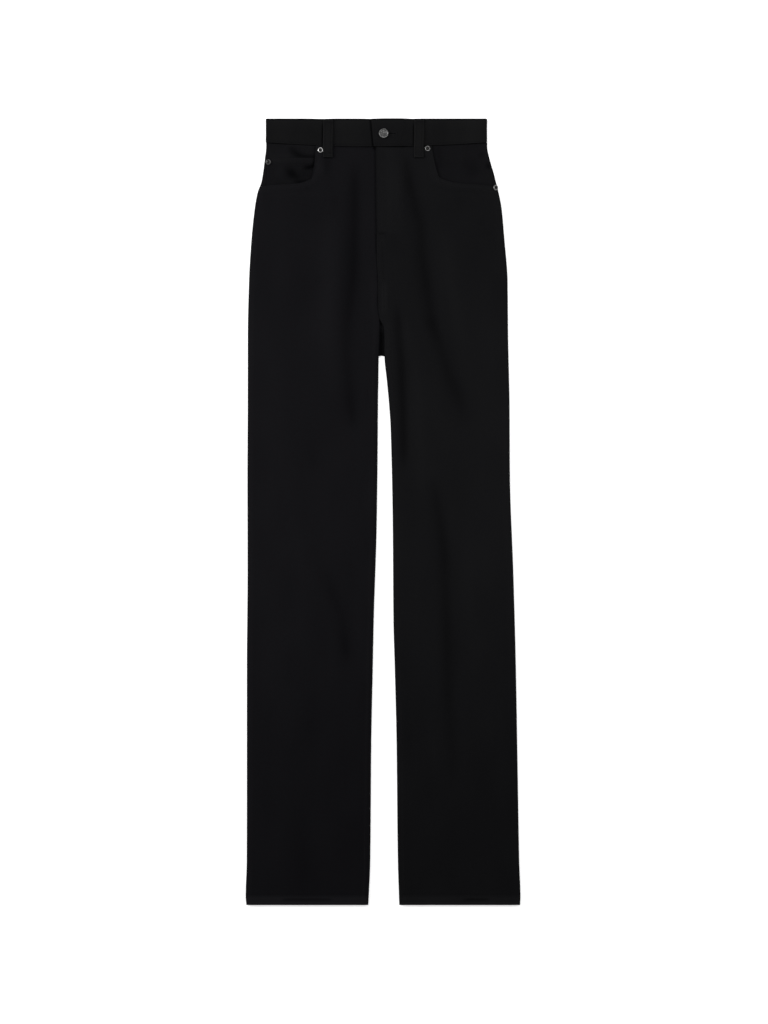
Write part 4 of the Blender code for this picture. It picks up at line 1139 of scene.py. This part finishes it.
def loop_low(side, drop):
    """Lower face of a front belt loop: on the waistband, then stepping down on to the front."""
    seat = filled(drop, -1e9)
    for off in (-6, -3, 0, 3, 6):
        place = filled(drop, FRONT_LOOPS[side] + off)
        band = band_middle_z(place, side == "left") + BAND_WALL / 2 + 0.1
        front = front_height(side, place, np.maximum(drop, band_drop(place)))
        seat = np.maximum(seat, mix(band, front, after(drop, band_drop(place) + 1, 5)))
    share = smooth((drop - LOOP_TOP) / (FRONT_LOOP_END - LOOP_TOP))
    return seat + 0.2 + 0.75 * np.sin(math.pi * share)


def loop_height(side, across, drop):
    """Upper face of a front belt loop."""
    edge = LOOP_WIDTH / 2 - np.abs(across - FRONT_LOOPS[side])
    end = np.minimum(drop - LOOP_TOP, FRONT_LOOP_END - drop)
    top = loop_low(side, drop) + LOOP_WALL - 0.25 + 0.35 * smooth(edge / 1.4) - 0.18 * around(edge, 2.2, 0.8)
    return top + 0.5 * around(end, 2.2, 2.2) + 0.12 * np.sin(drop / 2.1) * around(edge, 1, 1.5)


def loop_grid(middle, places, end, step):
    """Places of a belt loop, and how far each is from its nearer long edge."""
    levels = LOOP_TOP + edge_steps(end - LOOP_TOP, step)
    across, drop = np.meshgrid(middle - LOOP_WIDTH / 2 + np.array(places), levels)
    return across, drop, LOOP_WIDTH / 2 - np.abs(across - middle)


def make_front_loop(side, finish):
    middle = FRONT_LOOPS[side]
    across, drop, edge = loop_grid(middle, LOOP_PLACES, FRONT_LOOP_END, 1.4)
    up = FRONT_LOOP_END - drop
    # Lighter along the edges, painted shade in the sewing's furrows, painted light along the right edge
    # against the loop's shadow, and a painted highlight on the folded lower end with painted shade just
    # above it
    tone = 0.3 + 0.5 * around(edge, 0.8, 1) - 0.5 * around(edge, 2.4, 0.9)
    tone += 0.5 * around(across, middle + 6.6, 1.4)
    tone += 0.9 * around(up, 2.4, 1.2) - 0.3 * around(up, 6, 2) + 0.2 * ripples(across, drop, 51, 20)
    make_sheet(f"belt_loop_front_{side}", finish, "black_denim", (across + 0.25 * np.sin(drop / 9), drop),
               loop_low(side, drop), loop_height(side, across, drop), np.clip(tone, -1.5, 1.4), 0.5,
               ["waistband", f"front_{side}"])


def make_back_loop(spot, finish):
    across, drop, edge = loop_grid(BACK_LOOPS[spot], BACK_LOOP_PLACES, BACK_LOOP_END, 2)
    low = SEWING_CLEARANCE + 0.14 * around(edge, 2.2, 0.8) - 0.2 * around(BACK_LOOP_END - drop, 3, 2)
    # Lighter along the edges, painted shade in the sewing's furrows
    tone = 0.2 + 0.4 * around(edge, 0.8, 1) - 0.4 * around(edge, 2.4, 0.9)
    make_sheet(f"belt_loop_back_{spot}", finish, "black_denim", (across, drop), low, 1.25, tone, 0.25,
               ["waistband"])


def sew(name, rows, radius, finish, sides=6):
    """One mesh of all these rows' stitches, each dipping into the cloth at both of its ends."""
    starts, ends = (np.vstack(places) for places in zip(*rows))
    run = ends - starts
    forward = run / np.linalg.norm(run, axis=1)[:, None]
    across = np.cross((0, 0, 1), forward)
    across /= np.linalg.norm(across, axis=1)[:, None]
    upright = np.cross(forward, across)
    points = []
    for share, size, sink in THREAD_RINGS:
        for turn in np.arange(sides) * TURN / sides:
            off = math.cos(turn) * across + math.sin(turn) * upright
            points.append(starts + run * share + upright * sink * radius + radius * size * off)
    ring = np.arange(len(points)).reshape(-1, sides)
    following = np.roll(ring, -1, axis=1)
    walls = np.stack([ring[1:], following[1:], following[:-1], ring[:-1]], 2).reshape(-1, 4)
    base = np.arange(len(starts))[:, None, None] * len(points)
    faces = (walls + base).reshape(-1, 4).tolist()
    faces += (np.stack([ring[0], ring[-1][::-1]]) + base).reshape(-1, sides).tolist()
    dress(new_mesh(name, np.stack(points, 1).reshape(-1, 3), faces), finish, "black_denim")


def sewn_row(path, height, above=True, seed=0):
    """Starts and ends of the stitches along a path, lying on a face whose height is given."""
    path = np.asarray(path, float)
    length = run_of(path)[-1]
    count = max(1, int(length / STITCH_PITCH))
    shift = np.random.default_rng(seed).uniform(-0.06, 0.06, count) * STITCH_PITCH
    begin = (np.arange(count) * STITCH_PITCH + 0.5 * (STITCH_PITCH - STITCH_LENGTH) + shift) / length
    row = []
    for shares in (begin, np.minimum(begin + STITCH_LENGTH / length, 1)):
        spot = along(path, shares)
        row.append(np.column_stack([spot, height(*spot.T) + (0.05 if above else -0.03)]))
    return row


def bar_tack(across, drop, width, height, upright=False, above=True):
    """Close threads side by side, as a machine tack makes them, about a middle point."""
    count = max(4, int(width / 0.55))
    off = (np.arange(count) + 0.5) / count * width - width / 2
    row = []
    for end, slip in ((-TACK_SIZE / 2, 0), (TACK_SIZE / 2, 0.25)):
        if upright:
            spot = path_of(across + end, drop + off + slip)
        else:
            spot = path_of(across + off + slip, drop + end)
        row.append(np.column_stack([spot, height(*spot.T) + (0.12 if above else -0.04)]))
    return row


def drop_line(edge, offset, top, low):
    """Path beside an edge that is a function of the drop."""
    drops = np.arange(top, low + 0.1, 6)
    return path_of(edge(drops) + offset, drops)


def hem_line(side, edge):
    """Path along a hem's sewing, from the side seam to the inseam."""
    level = LENGTH - HEM_DEPTH + 2.5
    return [(side_seam(side, level) - SIGN[side] * 3, level), (edge(level) + SIGN[side] * 3, level)]


def on_surface(across, drop):
    """The underside's lowest face, which its sewing lifts off the surface."""
    return filled(across, SEWING_CLEARANCE)


def front_sewing(side):
    """Every row of sewing on a front."""
    sign, height, edge = SIGN[side], partial(front_height, side), partial(front_edge, side)
    rows = []
    for k, row in enumerate(TWIN_ROWS):
        rows.append(sewn_row(beside(MOUTH_PATHS[side], -sign * row)[4:-3], height, seed=k))
        inseam = drop_line(edge, sign * row, CENTRE_LOW + 14, LENGTH - HEM_DEPTH)
        rows.append(sewn_row(inseam, height, seed=10 + k))
    rows.append(sewn_row(hem_line(side, edge), height, seed=20))
    rows.append(sewn_row(drop_line(partial(side_seam, side), -sign * 2.2, 108, 176), height, seed=21))
    if side == "right":
        return rows

    # Edge row of the fly, the curved rows that hold its facing, and the twin rows below it
    rows.append(sewn_row(drop_line(edge, 2, 43, 160), height, seed=30))
    for k, inset in enumerate((0, 6)):
        out, low = 28.4 - inset, 150 - 0.4 * inset
        curve = curve_through([(out, 43), (out + 0.6, 90), (out, 126), (out - 4.5, low - 8),
                               (out - 13, low + 3), (out - 24 + inset * 0.6, low + 9.5)])
        rows.append(sewn_row(curve, height, seed=31 + k))
    for k, row in enumerate(TWIN_ROWS):
        rows.append(sewn_row(drop_line(edge, row, 172, CENTRE_LOW - 4), height, seed=33 + k))
    return rows + [bar_tack(-4, 163.5, 9, height), bar_tack(-2.2, 175, 8, height, upright=True)]


def band_sewing():
    """Rows along both edges of the waistband, front and back, and across its over end."""
    def front_face(across, drop):
        over = across >= OVER_END
        middle = np.where(over, band_middle_z(across, True), band_middle_z(across, False))
        return middle + BAND_WALL / 2 - 0.12

    def edge_rows(start, end, face, above, seed):
        places = np.arange(start, end, 4)
        return [sewn_row(path_of(places, edge), face, above, seed + m)
                for m, edge in enumerate((2.4, band_drop(places) - 2.3))]

    rows = edge_rows(BAND_RIGHT + 4, OVER_END - 1.5, front_face, True, 40)
    rows += edge_rows(OVER_END + 2, BAND_LEFT - 4, front_face, True, 42)
    rows.append(sewn_row([(OVER_END + 2.2, 4.5), (OVER_END + 2.2, 37)], front_face, seed=45))
    for starts, ends in edge_rows(BAND_RIGHT + 4, BAND_LEFT - 4, on_surface, False, 47):
        away = np.abs(starts[:, :1] - np.array(list(BACK_LOOPS.values()))).min(1)
        clear = away > LOOP_WIDTH / 2 + 3
        rows.append([starts[clear], ends[clear]])
    return rows


def buttonhole_sewing():
    """Close threads round the keyhole, and a tack at its end."""
    half, eye = BUTTONHOLE_WIDTH / 2 + 0.1, SHANK_RADIUS + 0.6
    end = BUTTON_ACROSS + BUTTONHOLE_LENGTH
    top = OVER_END_Z + BAND_WALL / 2 - 0.02
    threads = []
    for across in np.arange(BUTTON_ACROSS + eye, end + 0.4, 0.5):
        for sign in (-1, 1):
            threads.append(((across, BUTTON_DROP + sign * half, top),
                            (across + 0.12, BUTTON_DROP + sign * (half + 1.7), top)))
    for turn in np.linspace(0.5, TURN - 0.5, 26):
        threads.append([(BUTTON_ACROSS + reach * math.cos(turn), BUTTON_DROP + reach * math.sin(turn), top)
                        for reach in (eye, eye + 1.7)])
    for drop in np.arange(BUTTON_DROP - 2.2, BUTTON_DROP + 2.3, 0.5):
        threads.append(((end + 0.3, drop, top + 0.1), (end + 2.1, drop + 0.1, top + 0.1)))
    return [np.array(threads).transpose(1, 0, 2)]


def loop_sewing():
    """Twin rows and two tacks on each belt loop."""
    loops = [(middle, FRONT_LOOP_END, partial(loop_height, side), True, 60)
             for side, middle in FRONT_LOOPS.items()]
    loops += [(middle, BACK_LOOP_END, on_surface, False, 64) for middle in BACK_LOOPS.values()]
    rows = []
    for middle, end, height, above, seed in loops:
        for m, off in enumerate((-4.6, 4.6)):
            path = path_of(middle + off, np.linspace(LOOP_TOP + 3.5, end - 5, 12))
            rows.append(sewn_row(path, height, above, seed + m))
        for drop in (LOOP_TOP + 3, end - 3.2):
            rows.append(bar_tack(middle, drop, 11.5, height, above=above))
    return rows


def back_sewing():
    """Rows on the underside: yoke seams, back seam, pockets, inseams and hems."""
    def under(across, drop):
        return np.minimum(back_low(across, drop), SEWING_CLEARANCE + 0.5)

    rows = []
    for side, sign in SIGN.items():
        edge = partial(back_edge, side)
        places = np.linspace(BAND_MIDDLE + sign * 4, side_seam(side, YOKE_SIDE_DROP) - sign * 3, 50)
        for k, row in enumerate(TWIN_ROWS):
            rows.append(sewn_row(path_of(places, yoke_drop(places) - row), under, False, 70 + k))
            inseam = drop_line(edge, sign * row, CROTCH + 12, LENGTH - HEM_DEPTH)
            rows.append(sewn_row(inseam, under, False, 72 + k))
        if side == "left":
            for k, row in enumerate(TWIN_ROWS):
                rows.append(sewn_row(drop_line(edge, row, 110, CROTCH - 6), under, False, 74 + k))
        rows.append(sewn_row(hem_line(side, edge), under, False, 76))
        outline = back_pocket_outline(BACK_POCKETS[side])
        middle = outline.mean(0)
        for k, inset in enumerate(TWIN_ROWS):
            ring = middle + (outline - middle) * (1 - inset / BACK_POCKET_TOP_HALF, 1 - inset / 74)
            rows.append(sewn_row(ring[[0, 4, 3, 2, 1]], on_surface, False, 78 + k))
        mouth = path_of([middle[0] - 58, middle[0] + 58], BACK_POCKET_TOP + 11)
        rows.append(sewn_row(mouth, on_surface, False, 80))
    return rows


def coin_sewing():
    """Rows along the coin pocket's top and its outer side."""
    places = np.arange(COIN_OUTER + 3, COIN_INNER - 7, 4)
    sag = 0.8 * around(places, COIN_OUTER, 14)
    rows = [sewn_row(path_of(places, COIN_TOP + row + sag), coin_height, seed=90 + k)
            for k, row in enumerate((2, 7))]
    for k, off in enumerate((2, 7.5)):
        rows.append(sewn_row(path_of(COIN_OUTER + off, [COIN_TOP + 9, 91]), coin_height, seed=92 + k))
    return rows


def turned(name, profile, across, drop, seat, segments=72, relief=None, tilt=0):
    """Round piece turned from (radius, height, wear) stations that start and end on its axis."""
    points, wears, rings = [], [], []
    lean = math.radians(tilt)
    for radius, height, wear in profile:
        ring = []
        for k in range(1 if radius == 0 else segments):
            x, d = radius * math.cos(TURN * k / segments), radius * math.sin(TURN * k / segments)
            extra = relief(x, d, height) if relief else 0
            rise = height + extra
            ring.append(len(points))
            points.append((across + x * math.cos(lean) + rise * math.sin(lean), drop + d,
                           seat + rise * math.cos(lean) - x * math.sin(lean)))
            wears.append(wear + 2.5 * extra)
        # A ring on the axis is one point, which all the faces beside it share
        rings.append(ring if len(ring) > 1 else ring * segments)
    faces = []
    for here, above in zip(rings, rings[1:]):
        for k in range(segments):
            n = (k + 1) % segments
            faces.append(list(dict.fromkeys((above[k], above[n], here[n], here[k]))))
    return new_mesh(name, points, faces, wears)


def rounded_profile(corners, size=0.35):
    """Stations of a profile whose inner corners are replaced by small arcs."""
    corners = np.array(corners, float)
    stations = [tuple(corners[0])]
    for last, here, following in zip(corners, corners[1:], corners[2:]):
        start, end = (here + (other - here) * min(0.5, size / max(np.linalg.norm((other - here)[:2]), 1e-6))
                      for other in (last, following))
        for t in np.linspace(0, 1, 4):
            radius, height, wear = (1 - t) ** 2 * start + 2 * t * (1 - t) * here + t * t * end
            stations.append((max(radius, 0.02), height, wear))
    return stations + [tuple(corners[-1])]


def make_button(finish):
    """Shank button with a raised rim and a stippled cap."""
    profile = rounded_profile([
        # radius, height, wear
        (0, 0, 0.1), (SHANK_RADIUS, 0, 0.1), (SHANK_RADIUS, 2.9, 0.1), (6.7, 3, 0.1),
        (BUTTON_RADIUS, 3.5, 0.1), (BUTTON_RADIUS, 4.4, 0.11), (6.35, 5.15, 0.23), (5.5, 5.2, 0.18),
        (5.1, 4.8, 0.06), (4.9, 4.66, 0.12)])
    profile += [(r, 4.55 + 0.35 * math.cos(r / 5.2 * math.pi / 2), 0.2) for r in np.linspace(4.8, 0.35, 16)]
    profile.append((0, 4.9, 0.12))
    dents = np.random.default_rng(7).uniform(-4.6, 4.6, (120, 2))

    def relief(x, d, height):
        if height < 4.3 or math.hypot(x, d) > 5:
            return 0
        return -0.06 * min(1, np.exp(-((dents - (x, d)) ** 2).sum(1) / 0.09).sum())

    seat = UNDER_END_Z + BAND_WALL / 2 + SEAM
    button = turned("button_metal", profile, BUTTON_ACROSS, BUTTON_DROP, seat, relief=relief)
    dress(button, finish, "aged_nickel", "button")


def make_rivet(name, finish, slot_name):
    """Cap rivet: a rounded ring, a sunk bed and a burr in the middle."""
    across, drop, tilt, wear = RIVETS[name]
    low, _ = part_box(name)
    profile = rounded_profile([
        # radius, height, wear
        (0, 0, 0), (RIVET_RADIUS - 0.3, 0, 0), (RIVET_RADIUS, 0.35, 0.2 * wear),
        (RIVET_RADIUS - 0.35, 1.05, 0.7 * wear), (RIVET_RADIUS - 1.1, 1.5, wear),
        (RIVET_RADIUS - 1.7, 1.25, 0.5 * wear), (RIVET_RADIUS - 2, 0.7, 0), (1.4, 0.7, 0),
        (1.1, 1.05, 0.02), (0.6, 1.2, 0.08 * wear), (0, 1.2, 0.05 * wear)], 0.3)
    rivet = turned(name + "_metal", profile, across, drop, low[2] / MM - 0.1, segments=48, tilt=tilt)
    dress(rivet, finish, slot_name, name)


def feed(tree, node, inputs):
    """Gives a node's inputs, by name or number, their values or the outputs that drive them."""
    for socket, value in inputs.items():
        if hasattr(value, "is_output"):
            tree.links.new(value, node.inputs[socket])
        else:
            node.inputs[socket].default_value = value
    return node


def new_node(tree, kind, inputs):
    return feed(tree, tree.nodes.new(f"ShaderNode{kind}"), inputs)


def math_node(tree, operation, *values):
    node = tree.nodes.new("ShaderNodeMath")
    node.operation = operation
    return feed(tree, node, dict(enumerate(values))).outputs[0]


def limited(tree, value):
    """A value kept between 0 and 1."""
    return math_node(tree, "MINIMUM", math_node(tree, "MAXIMUM", value, 0), 1)


def noise(tree, position, scale, detail):
    return new_node(tree, "TexNoise", {"Vector": position, "Scale": scale, "Detail": detail}).outputs[0]


def colour_mix(tree, share, first, second):
    node = tree.nodes.new("ShaderNodeMix")
    node.data_type = "RGBA"
    return feed(tree, node, {0: share, 6: first, 7: second}).outputs[2]


def node_group(name, inputs, outputs):
    """Shader group with named sockets: its tree, its inputs' outputs and its end."""
    group = bpy.data.node_groups.new(name, "ShaderNodeTree")
    for socket, default in inputs.items():
        kind = "Color" if isinstance(default, tuple) else "Vector" if default is None else "Float"
        made = group.interface.new_socket(socket, in_out="INPUT", socket_type=f"NodeSocket{kind}")
        if default is not None:
            made.default_value = default
    for socket in outputs:
        kind = "Color" if socket == "Color" else "Float"
        group.interface.new_socket(socket, in_out="OUTPUT", socket_type=f"NodeSocket{kind}")
    return group, group.nodes.new("NodeGroupInput").outputs, group.nodes.new("NodeGroupOutput")


def twill_group():
    """Slanting ribs of the weave, broken by the weft, with a little unevenness of the yarn."""
    group, given, end = node_group("twill_weave", {"Position": None, "Ribs Per Metre": 1100.0, "Slant": 1.1,
                                                   "Unevenness": 0.35}, ["Height", "Weft"])
    node = partial(math_node, group)
    split = new_node(group, "SeparateXYZ", {0: given["Position"]})
    x_part = node("MULTIPLY", split.outputs[0], node("COSINE", given["Slant"]))
    y_part = node("MULTIPLY", split.outputs[1], node("SINE", given["Slant"]))
    grain = noise(group, given["Position"], 420, 2)
    wobble = node("MULTIPLY", grain, given["Unevenness"])
    turns = node("MULTIPLY_ADD", node("ADD", x_part, y_part), given["Ribs Per Metre"], wobble)
    ribs = node("SINE", node("MULTIPLY", turns, TURN))
    warp_turns = node("MULTIPLY", split.outputs[0], given["Ribs Per Metre"])
    warps = node("SINE", node("MULTIPLY", warp_turns, 2.2 * TURN))
    height = node("MULTIPLY_ADD", grain, 0.8, node("MULTIPLY_ADD", warps, 0.3, ribs))
    feed(group, end, {"Height": height, "Weft": node("LESS_THAN", ribs, -0.72)})
    return group


def dye_and_shade_group():
    """Black dye that the mesh's tone mixes towards a lighter colour, for faded dye and painted highlights on
    the ridges and edges, and towards a darker one, for painted shade in the creases and joins.
    """
    group, given, end = node_group("black_dye_and_painted_shade", {
        "Position": None, "Base": (0.007, 0.0066, 0.0075, 1.0), "Faded And Highlit": (0.011, 0.0106, 0.0113, 1.0),
        "Painted Shade": (0.0015, 0.0014, 0.0018, 1.0), "Tone": 0.0, "Weft": 0.0, "Mottle": 0.3},
        ["Color", "Roughness"])
    node = partial(math_node, group)
    stretch = new_node(group, "VectorMath", {0: given["Position"], 1: (3.2, 0.7, 1)})
    stretch.operation = "MULTIPLY"
    cloud = node("SUBTRACT", noise(group, stretch.outputs[0], 9, 3), 0.5)
    mottled = node("MULTIPLY_ADD", node("MULTIPLY", cloud, given["Mottle"]), 2, given["Tone"])
    flecked = node("MULTIPLY_ADD", given["Weft"], 0.25, mottled)
    lint = node("SUBTRACT", noise(group, given["Position"], 900, 1), 0.5)
    toned = node("MULTIPLY_ADD", lint, 0.5, flecked)
    # Tone above zero mixes towards the faded and highlit colour, below zero towards the painted shade colour
    light = limited(group, toned)
    dark = limited(group, node("MULTIPLY", toned, -0.6))
    faded_and_highlit = colour_mix(group, light, given["Base"], given["Faded And Highlit"])
    feed(group, end, {"Color": colour_mix(group, dark, faded_and_highlit, given["Painted Shade"]),
                      "Roughness": node("MULTIPLY_ADD", light, -0.06, 0.94)})
    return group


def patina_group():
    """Aged nickel: bright where it is rubbed and dark in its hollows, clouded and finely pitted."""
    group, given, end = node_group("aged_patina", {
        "Position": None, "Bright": (0.5, 0.49, 0.48, 1.0), "Dark": (0.02, 0.02, 0.02, 1.0), "Wear": 0.5,
        "Clouding": 0.6}, ["Color", "Roughness", "Height"])
    node = partial(math_node, group)
    cloudy = node("SUBTRACT", noise(group, given["Position"], 400, 3), 0.5)
    uneven = node("MULTIPLY_ADD", cloudy, given["Clouding"], 1)
    clouded = node("MULTIPLY_ADD", cloudy, 0.25, given["Wear"])
    shine = limited(group, node("MULTIPLY", clouded, uneven))
    feed(group, end, {"Color": colour_mix(group, shine, given["Dark"], given["Bright"]),
                      "Roughness": node("MULTIPLY_ADD", shine, -0.2, 0.5),
                      "Height": noise(group, given["Position"], 1400, 4)})
    return group


def material(name):
    """New material, its tree, its shader and the position on the piece."""
    made = bpy.data.materials.new(name)
    made.use_nodes = True
    tree = made.node_tree
    place = tree.nodes.new("ShaderNodeTexCoord")
    return made, tree, tree.nodes["Principled BSDF"], place.outputs["Object"]


def placed(tree, group, inputs):
    """A group's outputs in a material."""
    node = tree.nodes.new("ShaderNodeGroup")
    node.node_tree = group
    return feed(tree, node, inputs).outputs


def tone_of_mesh(tree):
    node = tree.nodes.new("ShaderNodeAttribute")
    node.attribute_name = "tone"
    return node.outputs["Fac"]


def bumped(tree, height, strength, distance):
    return new_node(tree, "Bump", {"Strength": strength, "Distance": distance, "Height": height}).outputs[0]


def denim(name, twill, dye_and_shade, base, faded_and_highlit, painted_shade, slant, mottle):
    """Black twill with its own colours of dye, painted highlight and painted shade."""
    made, tree, shader, position = material(name)
    weave = placed(tree, twill, {"Position": position, "Slant": slant})
    dyed_and_shaded = placed(tree, dye_and_shade, {
        "Position": position, "Tone": tone_of_mesh(tree), "Weft": weave["Weft"], "Base": (*base, 1),
        "Faded And Highlit": (*faded_and_highlit, 1), "Painted Shade": (*painted_shade, 1), "Mottle": mottle})
    feed(tree, shader, {
        "Base Color": dyed_and_shaded["Color"], "Roughness": dyed_and_shaded["Roughness"], "Specular IOR Level": 0.03,
        "Normal": bumped(tree, weave["Height"], 0.5, 0.00012)})
    return made


def thread_material():
    """Black polyester core thread, a little glossier than the cloth, with its twist."""
    made, tree, shader, position = material("black_thread")
    wave = new_node(tree, "TexWave", {"Vector": position, "Scale": 900})
    wave.bands_direction = "DIAGONAL"
    twist = wave.outputs["Fac"]
    colour = colour_mix(tree, twist, (0.0026, 0.0026, 0.003, 1), (0.0046, 0.0045, 0.0049, 1))
    feed(tree, shader, {"Base Color": colour, "Roughness": 0.6, "Specular IOR Level": 0.06,
                        "Normal": bumped(tree, twist, 0.4, 0.00008)})
    return made


def metal(name, patina, bright, dark, clouding):
    made, tree, shader, position = material(name)
    aged = placed(tree, patina, {"Position": position, "Bright": (*bright, 1), "Dark": (*dark, 1),
                                 "Wear": tone_of_mesh(tree), "Clouding": clouding})
    feed(tree, shader, {"Base Color": aged["Color"], "Roughness": aged["Roughness"], "Metallic": 1,
                        "Normal": bumped(tree, aged["Height"], 0.35, 0.0001)})
    return made


def make_floor():
    """Plain white surface, lit a little from below like a light table."""
    half, height = 4, -0.0002
    corners = [(-half, -half, height), (half, -half, height), (half, half, height), (-half, half, height)]
    mesh = bpy.data.meshes.new("floor")
    mesh.from_pydata(corners, [], [(0, 1, 2, 3)])
    floor = bpy.data.objects.new("floor", mesh)
    bpy.context.scene.collection.objects.link(floor)
    made, tree, shader, _ = material("white_surface")
    feed(tree, shader, {"Base Color": (0.86, 0.86, 0.86, 1), "Roughness": 0.9, "Specular IOR Level": 0.1,
                        "Emission Color": (1, 1, 1, 1), "Emission Strength": 0.35})
    mesh.materials.append(made)


def area_light(name, place, size, power):
    light = bpy.data.lights.new(name, "AREA")
    light.shape = "RECTANGLE"
    light.size, light.size_y = size
    light.energy = power
    obj = bpy.data.objects.new(name, light)
    obj.location = place
    obj.rotation_euler = (LIGHT_AIM - Vector(place)).to_track_quat("-Z", "Y").to_euler()
    bpy.context.scene.collection.objects.link(obj)


def light_studio():
    world = bpy.data.worlds.new("studio")
    bpy.context.scene.world = world
    world.use_nodes = True
    feed(world.node_tree, world.node_tree.nodes["Background"], {"Color": (1, 1, 1, 1), "Strength": 0.55})
    area_light("key_left", (-2.6, 1.0, 1.7), (1.6, 1.6), 95)
    area_light("fill_right", (2.4, 0.6, 2.2), (2.0, 2.0), 38)
    area_light("top_soft", (0.2, 2.4, 2.4), (2.0, 1.2), 30)
    bpy.context.scene.view_settings.view_transform = "Standard"


def make_camera():
    """Looks straight down, framed as the photograph frames the jeans."""
    metres_per_px = 1.424 * MM
    frame_height_px, off_x_px, off_y_px = 1024, 0.95, -0.25
    cloth_height = 4 * MM
    data = bpy.data.cameras.new("camera")
    data.lens = 85
    data.sensor_width = 36
    data.sensor_fit = "AUTO"
    distance = data.lens / data.sensor_width * frame_height_px * metres_per_px
    camera = bpy.data.objects.new("camera", data)
    camera.location = (off_x_px * metres_per_px, off_y_px * metres_per_px, distance + cloth_height)
    bpy.context.scene.collection.objects.link(camera)
    bpy.context.scene.camera = camera


def main():
    make_camera()
    make_floor()
    light_studio()

    twill, dye_and_shade, patina = twill_group(), dye_and_shade_group(), patina_group()
    cloths = {name: denim(name, twill, dye_and_shade, *looks) for name, looks in DENIMS.items()}
    pocket_black, band_black = cloths["denim_pocket"], cloths["denim_waistband"]
    thread = thread_material()
    nickel = metal("aged_nickel", patina, (0.5, 0.495, 0.49), (0.014, 0.014, 0.014), 2.8)
    dark_nickel = metal("dark_nickel", patina, (0.34, 0.335, 0.33), (0.01, 0.01, 0.01), 3.4)

    for side in SIGN:
        front_black = cloths[f"denim_front_{side}"]
        make_front(side, front_black)
        make_back(side, front_black)
        make_yoke(side, front_black)
        make_facing(side, pocket_black)
        make_back_pocket(side, front_black)
        make_front_loop(side, band_black)
        sew(f"sewing_front_{side}", front_sewing(side), THREAD_RADIUS, thread)
    make_coin_pocket(pocket_black)
    make_waistband(band_black)
    for spot in BACK_LOOPS:
        make_back_loop(spot, band_black)
    for name, rows, radius in (("waistband", band_sewing(), THREAD_RADIUS),
                               ("buttonhole", buttonhole_sewing(), 0.2), ("belt_loops", loop_sewing(), 0.22),
                               ("back", back_sewing(), 0.24), ("coin_pocket", coin_sewing(), THREAD_RADIUS)):
        sew(f"sewing_{name}", rows, radius, thread)
    make_button(nickel)
    for name in RIVETS:
        if "mouth" in name:
            make_rivet(name, nickel, "aged_nickel")
        else:
            make_rivet(name, dark_nickel, "dark_nickel")

    bpy.context.view_layer.update()


main()
